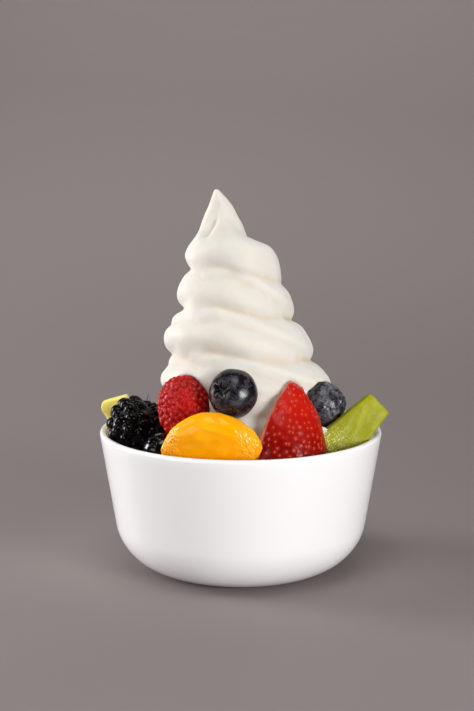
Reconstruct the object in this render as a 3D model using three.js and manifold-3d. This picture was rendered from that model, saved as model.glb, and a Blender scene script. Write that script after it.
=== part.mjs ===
// Frozen yogurt cup: a white bowl filled with soft yogurt, which rises from it in a piped swirl
// and carries a ring of fresh fruit.
//
// Frame: millimetres, +Z up. The origin is the centre of the bowl's foot, on the surface that
// the bowl stands on, and Z is the bowl's axis. -Y is the front, and +X is to its right.

import * as THREE from 'three';
import { ConvexGeometry } from 'three/addons/geometries/ConvexGeometry.js';
import { ConvexHull } from 'three/addons/math/ConvexHull.js';
import { mergeVertices } from 'three/addons/utils/BufferGeometryUtils.js';
import Module from 'manifold-3d';

const wasm = await Module();
wasm.setup();

const { clamp, degToRad, lerp, smoothstep } = THREE.MathUtils;

const FULL_TURN = 2 * Math.PI;
const GOLDEN_ANGLE = Math.PI * (3 - Math.sqrt(5));
const ELLIPSE = 0.5523; // how far a Bezier handle reaches to its corner to draw a quarter ellipse
const GAP = 0.45; // kept between the cup's wall and the yogurt
const POCKET_GAP = 0.5; // between a fruit's corners and the yogurt that it is pressed into
const POCKET_REACH = 8; // how far each pocket goes on towards the side that it opens to

const CUP = {
  height: 52.2,
  rimRadius: 52,
  footRadius: 26.6,
  flare: 0.165, // radius gained for each millimetre of the wall's height
  cornerTop: 16.6, // where the round lower corner meets the straight wall
  lip: 2.4, // thickness of the wall at the rim
  innerFlare: 0.177, // the wall thickens towards the floor
  floor: 3.4,
  innerFootRadius: 24,
  sides: 44,
};

const FILL = {
  level: 45.6, // where the yogurt meets the wall
  crown: 50, // its height under the swirl
  sides: 36,
};

// The swirl is one rope, laid in turns that climb to the left. A turn is counted each time the
// rope passes the right side, from the one that leaves the bowl.
const SWIRL = {
  firstTurn: -1,
  lastTurn: 5,
  height: 51, // of the rope's centre at turn 0
  pitch: 15.05,
  frontRise: 4.4, // each turn tilts up towards the front
  sideRise: 1.4, // and towards the right
  pathRadius: 28, // from the swirl's axis to the rope's centre at turn 0
  narrowing: 4.75, // of the path for each turn
  // what the path of each half turn adds to the even cone, from turn 0 on the right
  unevenness: [0, -0.9, 0, -0.7, -0.5, 0.5, -0.8, -0.5, 0.6, 1.5],
  lean: { from: 1, to: -3.2, start: 62, end: 100 }, // of the axis along X, between two heights
  ropeRadius: 9.4,
  lastRopeRadius: 8.2, // in the last turn
  lastTopHeight: 0.7, // share of its upper half's height that the last turn keeps
  sag: 0.9, // the rope is fuller below and flatter above its outermost line
  sagAngle: 40,
  ridges: 4,
  cornersPerRidge: 5,
  ridgeDepth: 0.9,
  grooveAtLeft: 16, // degrees above the rope's outermost line, on the left side
  grooveLift: 18, // degrees by which the grooves run higher across the front
  stepsPerTurn: 16,
  stepsPerLength: 8, // the rope is joined from lengths that never meet themselves
};

const PEAK = {
  base: 108,
  shoulder: 116,
  tip: 140,
  radius: 11.2, // at the shoulder
  sharpness: 0.78,
  centreX: -7,
  hook: -2, // how far the tip bends to the left
  grooveDepth: 1,
  grooveAtTip: -100, // degrees
  grooveTwist: 2.6, // degrees for each millimetre below the tip
  sides: 16,
  rings: 12,
};

const BRAMBLE = { drupelets: 62, radius: 10.3, halfHeight: 10.7, taper: 0.05, swell: 1.1 };
const RASPBERRY = { drupelets: 136, radius: 9.3, halfHeight: 11, taper: 0.04, swell: 0.6 };
const BLUEBERRY = { flatness: 0.93, sepals: 5, sidesPerSepal: 3 };
const MANDARIN = { length: 35.8, depth: 20.5, thickness: 13.5, leftEnd: 5.5, rightEnd: 8.5 };
const STRAWBERRY = {
  length: 34,
  radius: 16.3,
  widest: 27,
  endRadius: 11.5,
  swelling: 0.14, // how much the round side fills out towards the stalk end
  cutEdge: 1.3,
};

/** Makes a geometry from points and triangles that share them. */
function indexed(points, triangles) {
  const geometry = new THREE.BufferGeometry().setFromPoints(points);
  geometry.setIndex(triangles);
  return geometry;
}

/** Merges equal corners and drops the empty triangles that a lathe leaves on its axis. */
function merged(geometry) {
  geometry.deleteAttribute('normal');
  geometry.deleteAttribute('uv');
  const tidy = mergeVertices(geometry, 1e-4);
  const corners = Array.from(tidy.index.array);
  const kept = [];
  for (let at = 0; at < corners.length; at += 3) {
    const triangle = corners.slice(at, at + 3);
    if (new Set(triangle).size === 3) kept.push(...triangle);
  }
  tidy.setIndex(kept);
  return tidy;
}

/** Turns a profile of (radius, height) points about Z. */
function revolved(profile, sides) {
  const geometry = new THREE.LatheGeometry(profile, sides);
  geometry.rotateX(Math.PI / 2);
  return merged(geometry);
}

/**
 * Joins rings of equal length into a closed skin, with a fan from each end ring to its pole.
 * Each ring runs anticlockwise about the direction in which the rings follow each other.
 */
function lofted(rings, firstPole, lastPole) {
  const sides = rings[0].length;
  const points = [...rings.flat(), firstPole, lastPole];
  const first = points.length - 2;
  const last = points.length - 1;
  const top = (rings.length - 1) * sides;
  const triangles = [];
  for (let side = 0; side < sides; side += 1) {
    const next = (side + 1) % sides;
    for (let start = 0; start < top; start += sides) {
      const above = start + sides;
      triangles.push(start + side, start + next, above + next);
      triangles.push(start + side, above + next, above + side);
    }
    triangles.push(first, next, side);
    triangles.push(last, top + side, top + next);
  }
  return indexed(points, triangles);
}

function middleOf(points) {
  const sum = points.reduce((total, point) => total.add(point), new THREE.Vector3());
  return sum.divideScalar(points.length);
}

function solidFrom(geometry) {
  const vertProperties = new Float32Array(geometry.attributes.position.array);
  const triVerts = new Uint32Array(geometry.index.array);
  return new wasm.Manifold(new wasm.Mesh({ numProp: 3, vertProperties, triVerts }));
}

function geometryFrom(solid) {
  const mesh = solid.getMesh();
  const geometry = new THREE.BufferGeometry();
  geometry.setAttribute('position', new THREE.BufferAttribute(mesh.vertProperties, 3));
  geometry.setIndex(new THREE.BufferAttribute(mesh.triVerts, 1));
  return geometry;
}

function makePiece(name, geometry, color, roughness) {
  geometry.computeVertexNormals();
  const material = new THREE.MeshStandardMaterial({ color, roughness, metalness: 0 });
  const mesh = new THREE.Mesh(geometry, material);
  mesh.name = name;
  return mesh;
}

/** Puts a piece at a point, its own Z along `up` and its own X as near as can be to `along`. */
function placed(mesh, point, up, along = [1, 0, 0]) {
  const zAxis = new THREE.Vector3(...up).normalize();
  const xAxis = new THREE.Vector3(...along);
  xAxis.addScaledVector(zAxis, -xAxis.dot(zAxis)).normalize();
  const yAxis = zAxis.clone().cross(xAxis);
  mesh.position.set(...point);
  mesh.quaternion.setFromRotationMatrix(new THREE.Matrix4().makeBasis(xAxis, yAxis, zAxis));
  mesh.updateMatrixWorld();
  return mesh;
}

// --- the cup ---

/** Round corner from a level floor up to a flared wall, as a quarter of a sheared ellipse. */
function wallCorner(floorRadius, floor, wallRadius, top, flare) {
  const cornerRadius = wallRadius - (top - floor) * flare;
  const start = new THREE.Vector2(floorRadius, floor);
  const end = new THREE.Vector2(wallRadius, top);
  const corner = new THREE.Vector2(cornerRadius, floor);
  const startHandle = start.clone().lerp(corner, ELLIPSE);
  const endHandle = end.clone().lerp(corner, ELLIPSE);
  return new THREE.CubicBezierCurve(start, startHandle, endHandle, end).getPoints(6);
}

/** Inner wall from the floor up to a level, moved in by a clearance. */
function innerWall(level, clearance) {
  const lipLevel = CUP.height - CUP.lip / 2;
  const lipRadius = CUP.rimRadius - CUP.lip - clearance;
  const radiusAt = (height) => lipRadius - (lipLevel - height) * CUP.innerFlare;
  const floor = CUP.floor + clearance;
  const { innerFootRadius, cornerTop, innerFlare } = CUP;
  const corner = wallCorner(innerFootRadius, floor, radiusAt(cornerTop), cornerTop, innerFlare);
  return [...corner, new THREE.Vector2(radiusAt(level), level)];
}

function cupGeometry() {
  const lipLevel = CUP.height - CUP.lip / 2;
  const wallRadius = (level) => CUP.rimRadius - (lipLevel - level) * CUP.flare;
  const { footRadius, cornerTop, flare } = CUP;
  const outer = wallCorner(footRadius, 0, wallRadius(cornerTop), cornerTop, flare);
  const lip = new THREE.EllipseCurve(
    CUP.rimRadius - CUP.lip / 2, lipLevel, CUP.lip / 2, CUP.lip / 2, 0, Math.PI,
  );
  const inner = innerWall(lipLevel, 0).reverse().slice(1);
  const foot = new THREE.Vector2(0, 0);
  const floor = new THREE.Vector2(0, CUP.floor);
  return revolved([foot, ...outer, ...lip.getPoints(6), ...inner, floor], CUP.sides);
}

// --- the yogurt ---

/** What a half turn's path adds to the even cone. */
const unevenPath = new THREE.SplineCurve(
  SWIRL.unevenness.map((excess, halfTurn) => new THREE.Vector2(halfTurn, excess)),
);

function leanAt(height) {
  const { from, to, start, end } = SWIRL.lean;
  return lerp(from, to, smoothstep(height, start, end));
}

/** Centre, radius and outward direction of the rope at a turn. */
function ropeAt(turn) {
  const angle = -FULL_TURN * turn;
  const outward = new THREE.Vector3(Math.cos(angle), Math.sin(angle), 0);
  const slimming = smoothstep(turn, 3.3, 4);
  const ending = smoothstep(turn, 4.45, SWIRL.lastTurn);
  const radius = lerp(SWIRL.ropeRadius, SWIRL.lastRopeRadius, slimming) * (1 - 0.5 * ending);
  const alongPath = clamp((2 * turn) / (SWIRL.unevenness.length - 1), 0, 1);
  const evenPath = SWIRL.pathRadius - SWIRL.narrowing * turn;
  const pathRadius = (evenPath + unevenPath.getPoint(alongPath).y) * (1 - ending);
  const level = SWIRL.height + SWIRL.pitch * turn - slimming;
  const tilt = SWIRL.sideRise * outward.x - SWIRL.frontRise * outward.y;
  const centre = outward.clone().multiplyScalar(pathRadius);
  centre.x += lerp(leanAt(level), PEAK.centreX, ending);
  centre.z = level + tilt * (1 - ending);
  return { centre, outward, pathRadius, radius };
}

/** Ring round the rope: flat-topped ridges with a sharp groove between each two. */
function ropeRing(turn) {
  const { centre, outward, radius } = ropeAt(turn);
  const topHeight = lerp(1, SWIRL.lastTopHeight, smoothstep(turn, 3.95, 4.4));
  const corners = SWIRL.cornersPerRidge * SWIRL.ridges;
  // the rope turns once about itself in each lap, so its grooves cross the coil's face
  const lift = SWIRL.grooveLift * Math.max(0, -outward.y) ** 2;
  const groove = degToRad(SWIRL.grooveAtLeft + lift) + FULL_TURN * (turn - 0.5);
  const depth = SWIRL.ridgeDepth * (1 - smoothstep(turn, 3.5, 3.8));
  return Array.from({ length: corners }, (_, corner) => {
    const angle = groove + (FULL_TURN * corner) / corners;
    const sag = -SWIRL.sag * Math.cos(2 * (angle - degToRad(SWIRL.sagAngle)));
    const ridge = corner % SWIRL.cornersPerRidge === 0 ? -depth : depth / 4;
    const distance = radius + sag + ridge;
    const point = centre.clone().addScaledVector(outward, distance * Math.cos(angle));
    point.z += distance * Math.sin(angle) * (Math.sin(angle) > 0 ? topHeight : 1);
    return point;
  });
}

/** Lengths of rope, end to end, each short enough not to meet itself. */
function ropeLengths() {
  const count = Math.ceil(
    ((SWIRL.lastTurn - SWIRL.firstTurn) * SWIRL.stepsPerTurn) / SWIRL.stepsPerLength,
  );
  const stepTurn = (SWIRL.lastTurn - SWIRL.firstTurn) / (count * SWIRL.stepsPerLength);
  return Array.from({ length: count }, (_, piece) => {
    const rings = Array.from({ length: SWIRL.stepsPerLength + 1 }, (__, step) => {
      const turn = SWIRL.firstTurn + (piece * SWIRL.stepsPerLength + step) * stepTurn;
      return ropeRing(turn);
    });
    return lofted(rings, middleOf(rings[0]), middleOf(rings.at(-1)));
  });
}

/** Solid middle of the swirl, behind the creases between its turns. */
function swirlCore() {
  const sides = 12;
  const rings = [];
  for (let turn = -1; turn <= 4; turn += 0.5) {
    const { centre, pathRadius } = ropeAt(turn);
    const middle = new THREE.Vector3(leanAt(centre.z), 0, centre.z);
    rings.push(
      Array.from({ length: sides }, (_, side) => {
        const angle = (FULL_TURN * side) / sides;
        const radius = pathRadius + 1.5;
        const offset = new THREE.Vector3(Math.cos(angle), Math.sin(angle), 0);
        return offset.multiplyScalar(radius).add(middle);
      }),
    );
  }
  return lofted(rings, middleOf(rings[0]), middleOf(rings.at(-1)));
}

/** The last pull of the rope, drawn up to a point that hooks over to the left. */
function peakGeometry() {
  const ringAt = (level) => {
    const below = PEAK.tip - level;
    const fromShoulder = Math.min(1, below / (PEAK.tip - PEAK.shoulder));
    const waist = lerp(0.7, 1, smoothstep(level, PEAK.base, PEAK.shoulder));
    const radius = PEAK.radius * waist * fromShoulder ** PEAK.sharpness;
    const bend = PEAK.hook * (1 - fromShoulder) ** 4;
    const gathered = smoothstep(level, PEAK.base, PEAK.shoulder);
    const centreX = lerp(leanAt(level), PEAK.centreX, gathered) + bend;
    const groove = degToRad(PEAK.grooveAtTip - PEAK.grooveTwist * below);
    return Array.from({ length: PEAK.sides }, (_, side) => {
      const angle = groove + (FULL_TURN * side) / PEAK.sides;
      const depth = side === 0 ? PEAK.grooveDepth * Math.min(1, radius / 6) : 0;
      const distance = radius - depth;
      return new THREE.Vector3(
        centreX + distance * Math.cos(angle),
        distance * Math.sin(angle),
        level,
      );
    });
  };
  const rings = Array.from({ length: PEAK.rings }, (_, ring) => {
    const share = ring / PEAK.rings;
    return ringAt(lerp(PEAK.base, PEAK.tip, Math.sin((share * Math.PI) / 2)));
  });
  const tip = new THREE.Vector3(PEAK.centreX + PEAK.hook, 0, PEAK.tip);
  return lofted(rings, middleOf(rings[0]), tip);
}

/** Block that holds a piece with a clearance all round it, and its way out to one side. */
function pocketFor(mesh, opening) {
  const { position, normal } = mesh.geometry.attributes;
  const wayOut = new THREE.Vector3(...opening).multiplyScalar(POCKET_REACH);
  const corners = Array.from({ length: position.count }, (_, index) => {
    const corner = new THREE.Vector3().fromBufferAttribute(position, index);
    const outward = new THREE.Vector3().fromBufferAttribute(normal, index);
    return corner.addScaledVector(outward, POCKET_GAP).applyMatrix4(mesh.matrixWorld);
  });
  const cornersOutside = corners.map((corner) => corner.clone().add(wayOut));
  return merged(new ConvexGeometry([...corners, ...cornersOutside]));
}

function yogurtGeometry(fruits) {
  const axisPoint = (level) => new THREE.Vector2(0, level);
  const wall = innerWall(FILL.level, GAP);
  const fill = [axisPoint(wall[0].y), ...wall, axisPoint(FILL.crown)];
  let yogurt = solidFrom(revolved(fill, FILL.sides));
  for (const part of [swirlCore(), ...ropeLengths(), peakGeometry()]) {
    yogurt = yogurt.add(solidFrom(part));
  }
  for (const { piece, opening } of fruits) {
    yogurt = yogurt.subtract(solidFrom(pocketFor(piece, opening)));
  }
  const bodies = yogurt.decompose().sort((one, other) => other.volume() - one.volume());
  return geometryFrom(bodies[0]);
}

// --- the fruit ---

/** Directions spread evenly over a sphere along a spiral, from its top to its bottom. */
function spiralDirections(count) {
  return Array.from({ length: count }, (_, index) => {
    const height = 1 - (2 * index + 1) / count;
    const angle = GOLDEN_ANGLE * index;
    const radius = Math.sqrt(1 - height * height);
    return new THREE.Vector3(radius * Math.cos(angle), radius * Math.sin(angle), height);
  });
}

/** Corners of a cell of the sphere, in order round its centre as seen from outside. */
function inOrderRound(centre, corners) {
  const right = new THREE.Vector3(0, 0, 1).cross(centre).normalize();
  const up = centre.clone().cross(right);
  const angleOf = (corner) => Math.atan2(corner.dot(up), corner.dot(right));
  return corners.sort((one, other) => angleOf(one) - angleOf(other));
}

/** Berry whose skin is all drupelets: domes that meet in creases. Its tip is on +Z. */
function aggregateBerry({ drupelets, radius, halfHeight, taper, swell }, shouldered) {
  const seeds = spiralDirections(drupelets);
  const cells = new Map(seeds.map((seed) => [seed, []]));
  for (const { edge } of new ConvexHull().setFromPoints(seeds).faces) {
    const around = [edge.vertex.point, edge.next.vertex.point, edge.prev.vertex.point];
    const corner = middleOf(around).normalize();
    around.forEach((seed) => cells.get(seed).push(corner));
  }
  const points = [];
  const numbers = new Map();
  const numberOf = (direction, rise) => {
    if (!numbers.has(direction)) {
      const width = radius * (1 - taper * Math.max(0, direction.z + 0.3)) + rise;
      const shape = new THREE.Vector3(width, width, halfHeight + rise);
      numbers.set(direction, points.push(direction.clone().multiply(shape)) - 1);
    }
    return numbers.get(direction);
  };
  const triangles = [];
  for (const [seed, corners] of cells) {
    const edge = inOrderRound(seed, corners);
    const apex = numberOf(seed, swell);
    const shoulders = edge.map((corner) => corner.clone().lerp(seed, 0.38).normalize());
    edge.forEach((corner, index) => {
      const next = (index + 1) % edge.length;
      const outer = numberOf(corner, 0);
      const nextOuter = numberOf(edge[next], 0);
      if (shouldered) {
        const inner = numberOf(shoulders[index], 0.72 * swell);
        const nextInner = numberOf(shoulders[next], 0.72 * swell);
        triangles.push(apex, inner, nextInner);
        triangles.push(inner, outer, nextOuter, inner, nextOuter, nextInner);
      } else {
        triangles.push(apex, outer, nextOuter);
      }
    });
  }
  return indexed(points, triangles);
}

/** Blueberry with the star-shaped crown and its crater on +Z. */
function blueberryGeometry(radius) {
  const sides = BLUEBERRY.sepals * BLUEBERRY.sidesPerSepal;
  const ring = (polar, share, swing = 0) => {
    const away = degToRad(polar);
    return Array.from({ length: sides }, (_, side) => {
      const angle = (FULL_TURN * side) / sides;
      const star = side % BLUEBERRY.sidesPerSepal === 0 ? swing : -swing;
      const distance = radius * (share + star);
      return new THREE.Vector3(
        distance * Math.sin(away) * Math.cos(angle),
        distance * Math.sin(away) * Math.sin(angle),
        distance * Math.cos(away) * BLUEBERRY.flatness,
      );
    });
  };
  const bodyRings = [162, 143, 124, 105, 86, 67, 47].map((polar) => ring(polar, 1));
  const crown = [ring(29, 0.99), ring(21, 1.04, 0.05), ring(15, 0.9)];
  const stem = new THREE.Vector3(0, 0, -radius * BLUEBERRY.flatness);
  const crater = new THREE.Vector3(0, 0, 0.84 * radius * BLUEBERRY.flatness);
  return lofted([...bodyRings, ...crown], stem, crater);
}

/** Mandarin segment lying along X on its thin inner edge, with its round back up. */
function mandarinGeometry() {
  const { length, depth, thickness, leftEnd, rightEnd } = MANDARIN;
  const endAt = (share) => (share < 0 ? leftEnd : rightEnd);
  const sides = 14;
  const stations = 13;
  const ringAt = (share) => {
    const fullness = (1 - Math.abs(share) ** 2.2) ** 0.6;
    const centre = lerp(depth / 2, endAt(share), share * share);
    return Array.from({ length: sides }, (_, side) => {
      const angle = (FULL_TURN * side) / sides;
      const wedge = lerp(0.42, 1.08, (1 + Math.sin(angle)) / 2);
      return new THREE.Vector3(
        (share * length) / 2,
        (thickness / 2) * fullness * wedge * Math.cos(angle),
        centre + (depth / 2) * fullness * Math.sin(angle),
      );
    });
  };
  const rings = Array.from({ length: stations }, (_, station) => {
    const sweep = lerp(-0.94, 0.94, station / (stations - 1));
    return ringAt(Math.sin((sweep * Math.PI) / 2));
  });
  const endPole = (side) => new THREE.Vector3((side * length) / 2, 0, endAt(side));
  return lofted(rings, endPole(-1), endPole(1));
}

/** Half a strawberry: round on +X, cut flat on -X through its own axis, with its tip on +Z. */
function strawberryGeometry() {
  const { length, radius, widest, endRadius, swelling, cutEdge } = STRAWBERRY;
  const arcSides = 15;
  const radiusAt = (fromTip) => {
    if (fromTip < widest) {
      return radius * Math.sin((Math.PI / 2) * (fromTip / widest) ** 0.72);
    }
    const over = (fromTip - widest) / (length - widest);
    return lerp(endRadius, radius, Math.sqrt(1 - over * over));
  };
  const ringAt = (fromTip) => {
    const ringRadius = radiusAt(fromTip);
    const edge = Math.min(cutEdge, ringRadius / 3);
    const fullness = 1 + swelling * Math.min(1, fromTip / widest);
    const firstAngle = Math.asin(edge / ringRadius) - Math.PI / 2;
    const arc = Array.from({ length: arcSides + 1 }, (_, side) => {
      const angle = lerp(firstAngle, -firstAngle, side / arcSides);
      return new THREE.Vector3(
        ringRadius * fullness * Math.cos(angle),
        ringRadius * Math.sin(angle),
        -fromTip,
      );
    });
    const cut = [1, -1].map((side) => new THREE.Vector3(0, side * (ringRadius - edge), -fromTip));
    return [...arc, ...cut];
  };
  const levels = [length, 33, 31, widest, 23, 18, 13.5, 9.5, 6, 3.2, 1.2, 0.3];
  const end = new THREE.Vector3(0.4 * endRadius, 0, 1 - length);
  return lofted(levels.map(ringAt), end, new THREE.Vector3(0.1, 0, 0));
}

/** Stick of kiwi flesh along X, wider at its inner end, with edges that are a little worn. */
function kiwiGeometry({ length, outerWidth, innerWidth, thickness }) {
  const worn = 0.5;
  const ringAt = (share, inset) => {
    const along = (share - 0.5) * length;
    const halfWidth = lerp(innerWidth, outerWidth, share) / 2 - inset;
    const halfThickness = thickness / 2 - inset;
    const corners = [[1, 1], [-1, 1], [-1, -1], [1, -1]];
    return corners.flatMap(([across, up], corner) => {
      const side = new THREE.Vector3(along, across * halfThickness, up * (halfWidth - worn));
      const edge = new THREE.Vector3(along, across * (halfThickness - worn), up * halfWidth);
      return corner % 2 ? [edge, side] : [side, edge];
    });
  };
  const bevel = worn / length;
  const rings = [ringAt(0, worn), ringAt(bevel, 0), ringAt(1 - bevel, 0), ringAt(1, worn)];
  return lofted(rings, middleOf(rings[0]), middleOf(rings.at(-1)));
}

// --- the pieces ---

function brambleAt(name, ...place) {
  return placed(makePiece(name, aggregateBerry(BRAMBLE, true), 0x141014, 0.2), ...place);
}

function raspberryAt(name, ...place) {
  return placed(makePiece(name, aggregateBerry(RASPBERRY, false), 0xb51f22, 0.4), ...place);
}

function blueberryAt(name, radius, ...place) {
  return placed(makePiece(name, blueberryGeometry(radius), 0x2f3542, 0.5), ...place);
}

function mandarinAt(name, scale, ...place) {
  const geometry = mandarinGeometry().scale(scale, scale, scale);
  return placed(makePiece(name, geometry, 0xf59a0a, 0.3), ...place);
}

function strawberryAt(name, scale, ...place) {
  const geometry = strawberryGeometry().scale(scale, scale, scale);
  return placed(makePiece(name, geometry, 0xc01a10, 0.35), ...place);
}

function kiwiAt(name, sizes, ...place) {
  return placed(makePiece(name, kiwiGeometry(sizes), 0xaab52f, 0.4), ...place);
}

const KIWI_RIGHT = { length: 24, outerWidth: 10, innerWidth: 14, thickness: 6 };
const KIWI_LEFT = { length: 18, outerWidth: 9.8, innerWidth: 8, thickness: 7.4 };

/**
 * The fruit, and the direction in which each one's pocket in the yogurt is open. Each place is a
 * point, the direction of the piece's own Z and, where it matters, of its X.
 */
const fruits = [
  {
    piece: brambleAt('bramble', [-37.7, -9.3, 54.8], [-0.45, -0.75, -0.25]),
    opening: [0.5, -0.8, 0.2],
  },
  {
    piece: raspberryAt('raspberry_front', [-19.7, -24, 64.3], [-0.12, -0.1, 1]),
    opening: [-0.4, -0.9, 0],
  },
  {
    piece: blueberryAt('blueberry_front', 8.7, [-2.7, -34.6, 71.5], [-0.57, -0.74, 0.33]),
    opening: [0, -1, 0],
  },
  {
    piece: blueberryAt('blueberry_left', 6.3, [-28.5, -26.6, 49.6], [-0.3, -0.5, 0.6]),
    opening: [0, 0, 1],
  },
  {
    piece: mandarinAt('mandarin_front', 1, [-10.2, -40.3, 46.1], [0, -0.12, 1], [1, -0.17, 0.03]),
    opening: [0, 0, 1],
  },
  {
    piece: strawberryAt('strawberry_front', 1, [17.9, -24.3, 74.2], [0.22, 0.13, 1], [0.87, -0.5, 0]),
    opening: [0.3, -0.9, 0],
  },
  {
    piece: blueberryAt('blueberry_right', 8.4, [30.2, -8.4, 62.2], [0.9, -0.3, 0.25]),
    opening: [0.2, -1, 0],
  },
  {
    piece: kiwiAt('kiwi_right', KIWI_RIGHT, [41.4, -15.3, 55.3], [-0.7, 0, 0.71], [0.71, 0.35, 0.7]),
    opening: [0, 0, 0],
  },
  {
    piece: kiwiAt('kiwi_left', KIWI_LEFT, [-44.2, 5.7, 53], [0.96, 0, 0.28], [-0.28, 0, 0.96]),
    opening: [0, 0, 0],
  },
  {
    piece: strawberryAt('strawberry_back', 0.85, [19.9, 28.4, 67], [0.07, 0.1, 1], [0.57, 0.82, 0]),
    opening: [0.5, 0.8, 0],
  },
  {
    piece: blueberryAt('blueberry_back', 8.6, [3.6, 38, 59], [0.2, 0.75, 0.6]),
    opening: [0, 0.7, 0.7],
  },
  {
    piece: raspberryAt('raspberry_back', [-15, 35.5, 59], [-0.2, 0.35, 0.9]),
    opening: [-0.3, 0.6, 0.7],
  },
  {
    piece: mandarinAt('mandarin_back', 0.85, [-32.6, 24.2, 39.6], [0, 0, 1], [0.59, 0.81, 0]),
    opening: [0, 0, 1],
  },
];

const frozenYogurtCup = new THREE.Group();
frozenYogurtCup.add(makePiece('cup', cupGeometry(), 0xf3f0ee, 0.3));
frozenYogurtCup.add(makePiece('yogurt', yogurtGeometry(fruits), 0xf4efe4, 0.6));
frozenYogurtCup.add(...fruits.map(({ piece }) => piece));

export default frozenYogurtCup;
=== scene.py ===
"""Frozen yogurt cup: the finished look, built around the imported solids.

Lengths in the classes are millimetres in the model's own frame: +Z is up, -Y is the front and
the origin is the centre of the bowl's foot. Meshes are made in metres in the same frame.
"""

import logging
import math
from dataclasses import dataclass, field
from enum import Enum
from functools import lru_cache

import bmesh
import bpy
import numpy as np
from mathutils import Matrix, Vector


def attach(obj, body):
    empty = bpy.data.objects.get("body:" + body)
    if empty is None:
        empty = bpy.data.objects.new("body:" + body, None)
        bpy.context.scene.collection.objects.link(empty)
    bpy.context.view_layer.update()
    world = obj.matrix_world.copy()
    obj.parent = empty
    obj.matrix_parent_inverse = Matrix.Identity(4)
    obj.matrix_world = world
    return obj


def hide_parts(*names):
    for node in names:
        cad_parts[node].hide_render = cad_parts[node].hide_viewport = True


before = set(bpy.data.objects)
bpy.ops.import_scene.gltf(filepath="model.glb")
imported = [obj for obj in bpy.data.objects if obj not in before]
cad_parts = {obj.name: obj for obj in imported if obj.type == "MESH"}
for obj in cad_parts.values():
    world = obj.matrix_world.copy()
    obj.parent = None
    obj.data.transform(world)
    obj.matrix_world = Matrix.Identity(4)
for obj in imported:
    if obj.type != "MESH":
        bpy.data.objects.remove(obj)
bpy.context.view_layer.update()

Array = np.ndarray
Pair = tuple[float, float]
Triple = tuple[float, float, float]
Surface = tuple[Array, list[Array]]

BODY = "root"
MM = 0.001
FULL_TURN = 2 * math.pi
GOLDEN_ANGLE = math.pi * (3 - math.sqrt(5))
ELLIPSE = 0.5523  # reach of a Bezier handle that draws a quarter ellipse
RGBA = {"data_type": "RGBA"}  # of a Mix node, whose inputs 6 and 7 and output 2 are then colours

log = logging.getLogger("frozen_yogurt_cup")


class Slot(Enum):
    """The record's material slots."""

    PORCELAIN = "porcelain"
    YOGURT = "yogurt"
    BRAMBLE = "bramble_skin"
    RASPBERRY = "raspberry_skin"
    BLUEBERRY = "blueberry_skin"
    MANDARIN = "mandarin_flesh"
    STRAWBERRY = "strawberry_skin"
    KIWI = "kiwi_flesh"


# --- numbers and fields ---


def smoothstep(value: Array, low: float, high: float) -> Array:
    """Soft step from 0 at low to 1 at high."""
    share = np.clip((value - low) / (high - low), 0, 1)
    return share * share * (3 - 2 * share)


def band(value: Array, edges: tuple[float, ...]) -> Array:
    """Soft band: 0 outside the outer two of four edges, and 1 between the inner two."""
    return smoothstep(value, *edges[:2]) * (1 - smoothstep(value, *edges[2:]))


def lerp(start: Array, end: Array, share: Array) -> Array:
    """Straight blend from start to end."""
    return start + (end - start) * share


def soft_min(one: Array, other: Array, reach: Array) -> Array:
    """Lower of two fields, with their crease rounded over a reach.

    Args:
        one: first field, in millimetres.
        other: second field.
        reach: how far apart the fields may be and still blend.

    Returns:
        The blended field.
    """
    blend = np.clip(1 - np.abs(one - other) / reach, 0, None)
    return np.minimum(one, other) - blend * blend * reach / 4


def unit(vectors: Array) -> Array:
    """Vectors scaled to length 1."""
    return vectors / np.linalg.norm(vectors, axis=-1, keepdims=True)


def ripple(points: Array, wavelength: float, seed: int, waves: int = 14) -> Array:
    """Smooth seeded relief between about -1 and 1.

    Args:
        points: where it is wanted, in millimetres, one row a point.
        wavelength: typical distance between two crests.
        seed: picks the pattern.
        waves: how many plane waves are added up.

    Returns:
        One height a point.
    """
    draw = np.random.default_rng(seed)
    directions = unit(draw.normal(size=(waves, 3)))
    steps = FULL_TURN / (wavelength * draw.uniform(0.7, 1.5, waves))
    phases = draw.uniform(0, FULL_TURN, waves)
    heights = np.sin(points @ (directions * steps[:, None]).T + phases)
    return heights.sum(axis=1) / math.sqrt(2 * waves)


def uneven(values: list[float], at: Array) -> Array:
    """Smooth curve through evenly spaced values, read at a fractional index.

    Args:
        values: heights of the curve at 0, 1, 2 and so on.
        at: where to read it.

    Returns:
        The curve's heights there.
    """
    values = np.asarray(values)
    last = len(values) - 1
    at = np.clip(at, 0, last)
    index = np.minimum(np.floor(at).astype(int), last)
    share = at - index
    before = values[np.maximum(index - 1, 0)]
    here = values[index]
    after = values[np.minimum(index + 1, last)]
    beyond = values[np.minimum(index + 2, last)]
    slope, next_slope = (after - before) / 2, (beyond - here) / 2
    cubic = (2 * here - 2 * after + slope + next_slope) * share**3
    square = (-3 * here + 3 * after - 2 * slope - next_slope) * share**2
    return cubic + square + slope * share + here


# --- surfaces ---


def loft(rings: Array, first_pole: Array, last_pole: Array) -> Surface:
    """Closed skin over rings of equal length, with a fan at each end.

    Args:
        rings: array of rings, points and coordinates, each ring anticlockwise about the
            direction in which the rings follow each other.
        first_pole: point in the middle of the first end.
        last_pole: point in the middle of the last end.

    Returns:
        Points and faces.
    """
    count, sides = rings.shape[:2]
    points = np.concatenate([rings.reshape(-1, 3), [first_pole], [last_pole]])
    side = np.arange(sides)
    after = (side + 1) % sides
    starts = np.arange(count - 1)[:, None] * sides
    quads = np.stack(
        [starts + side, starts + after, starts + sides + after, starts + sides + side], axis=-1
    ).reshape(-1, 4)
    first, last = len(points) - 2, len(points) - 1
    top = (count - 1) * sides
    low_fan = np.stack([np.full(sides, first), after, side], axis=-1)
    high_fan = np.stack([np.full(sides, last), top + side, top + after], axis=-1)
    return points, [quads, np.concatenate([low_fan, high_fan])]


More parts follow.
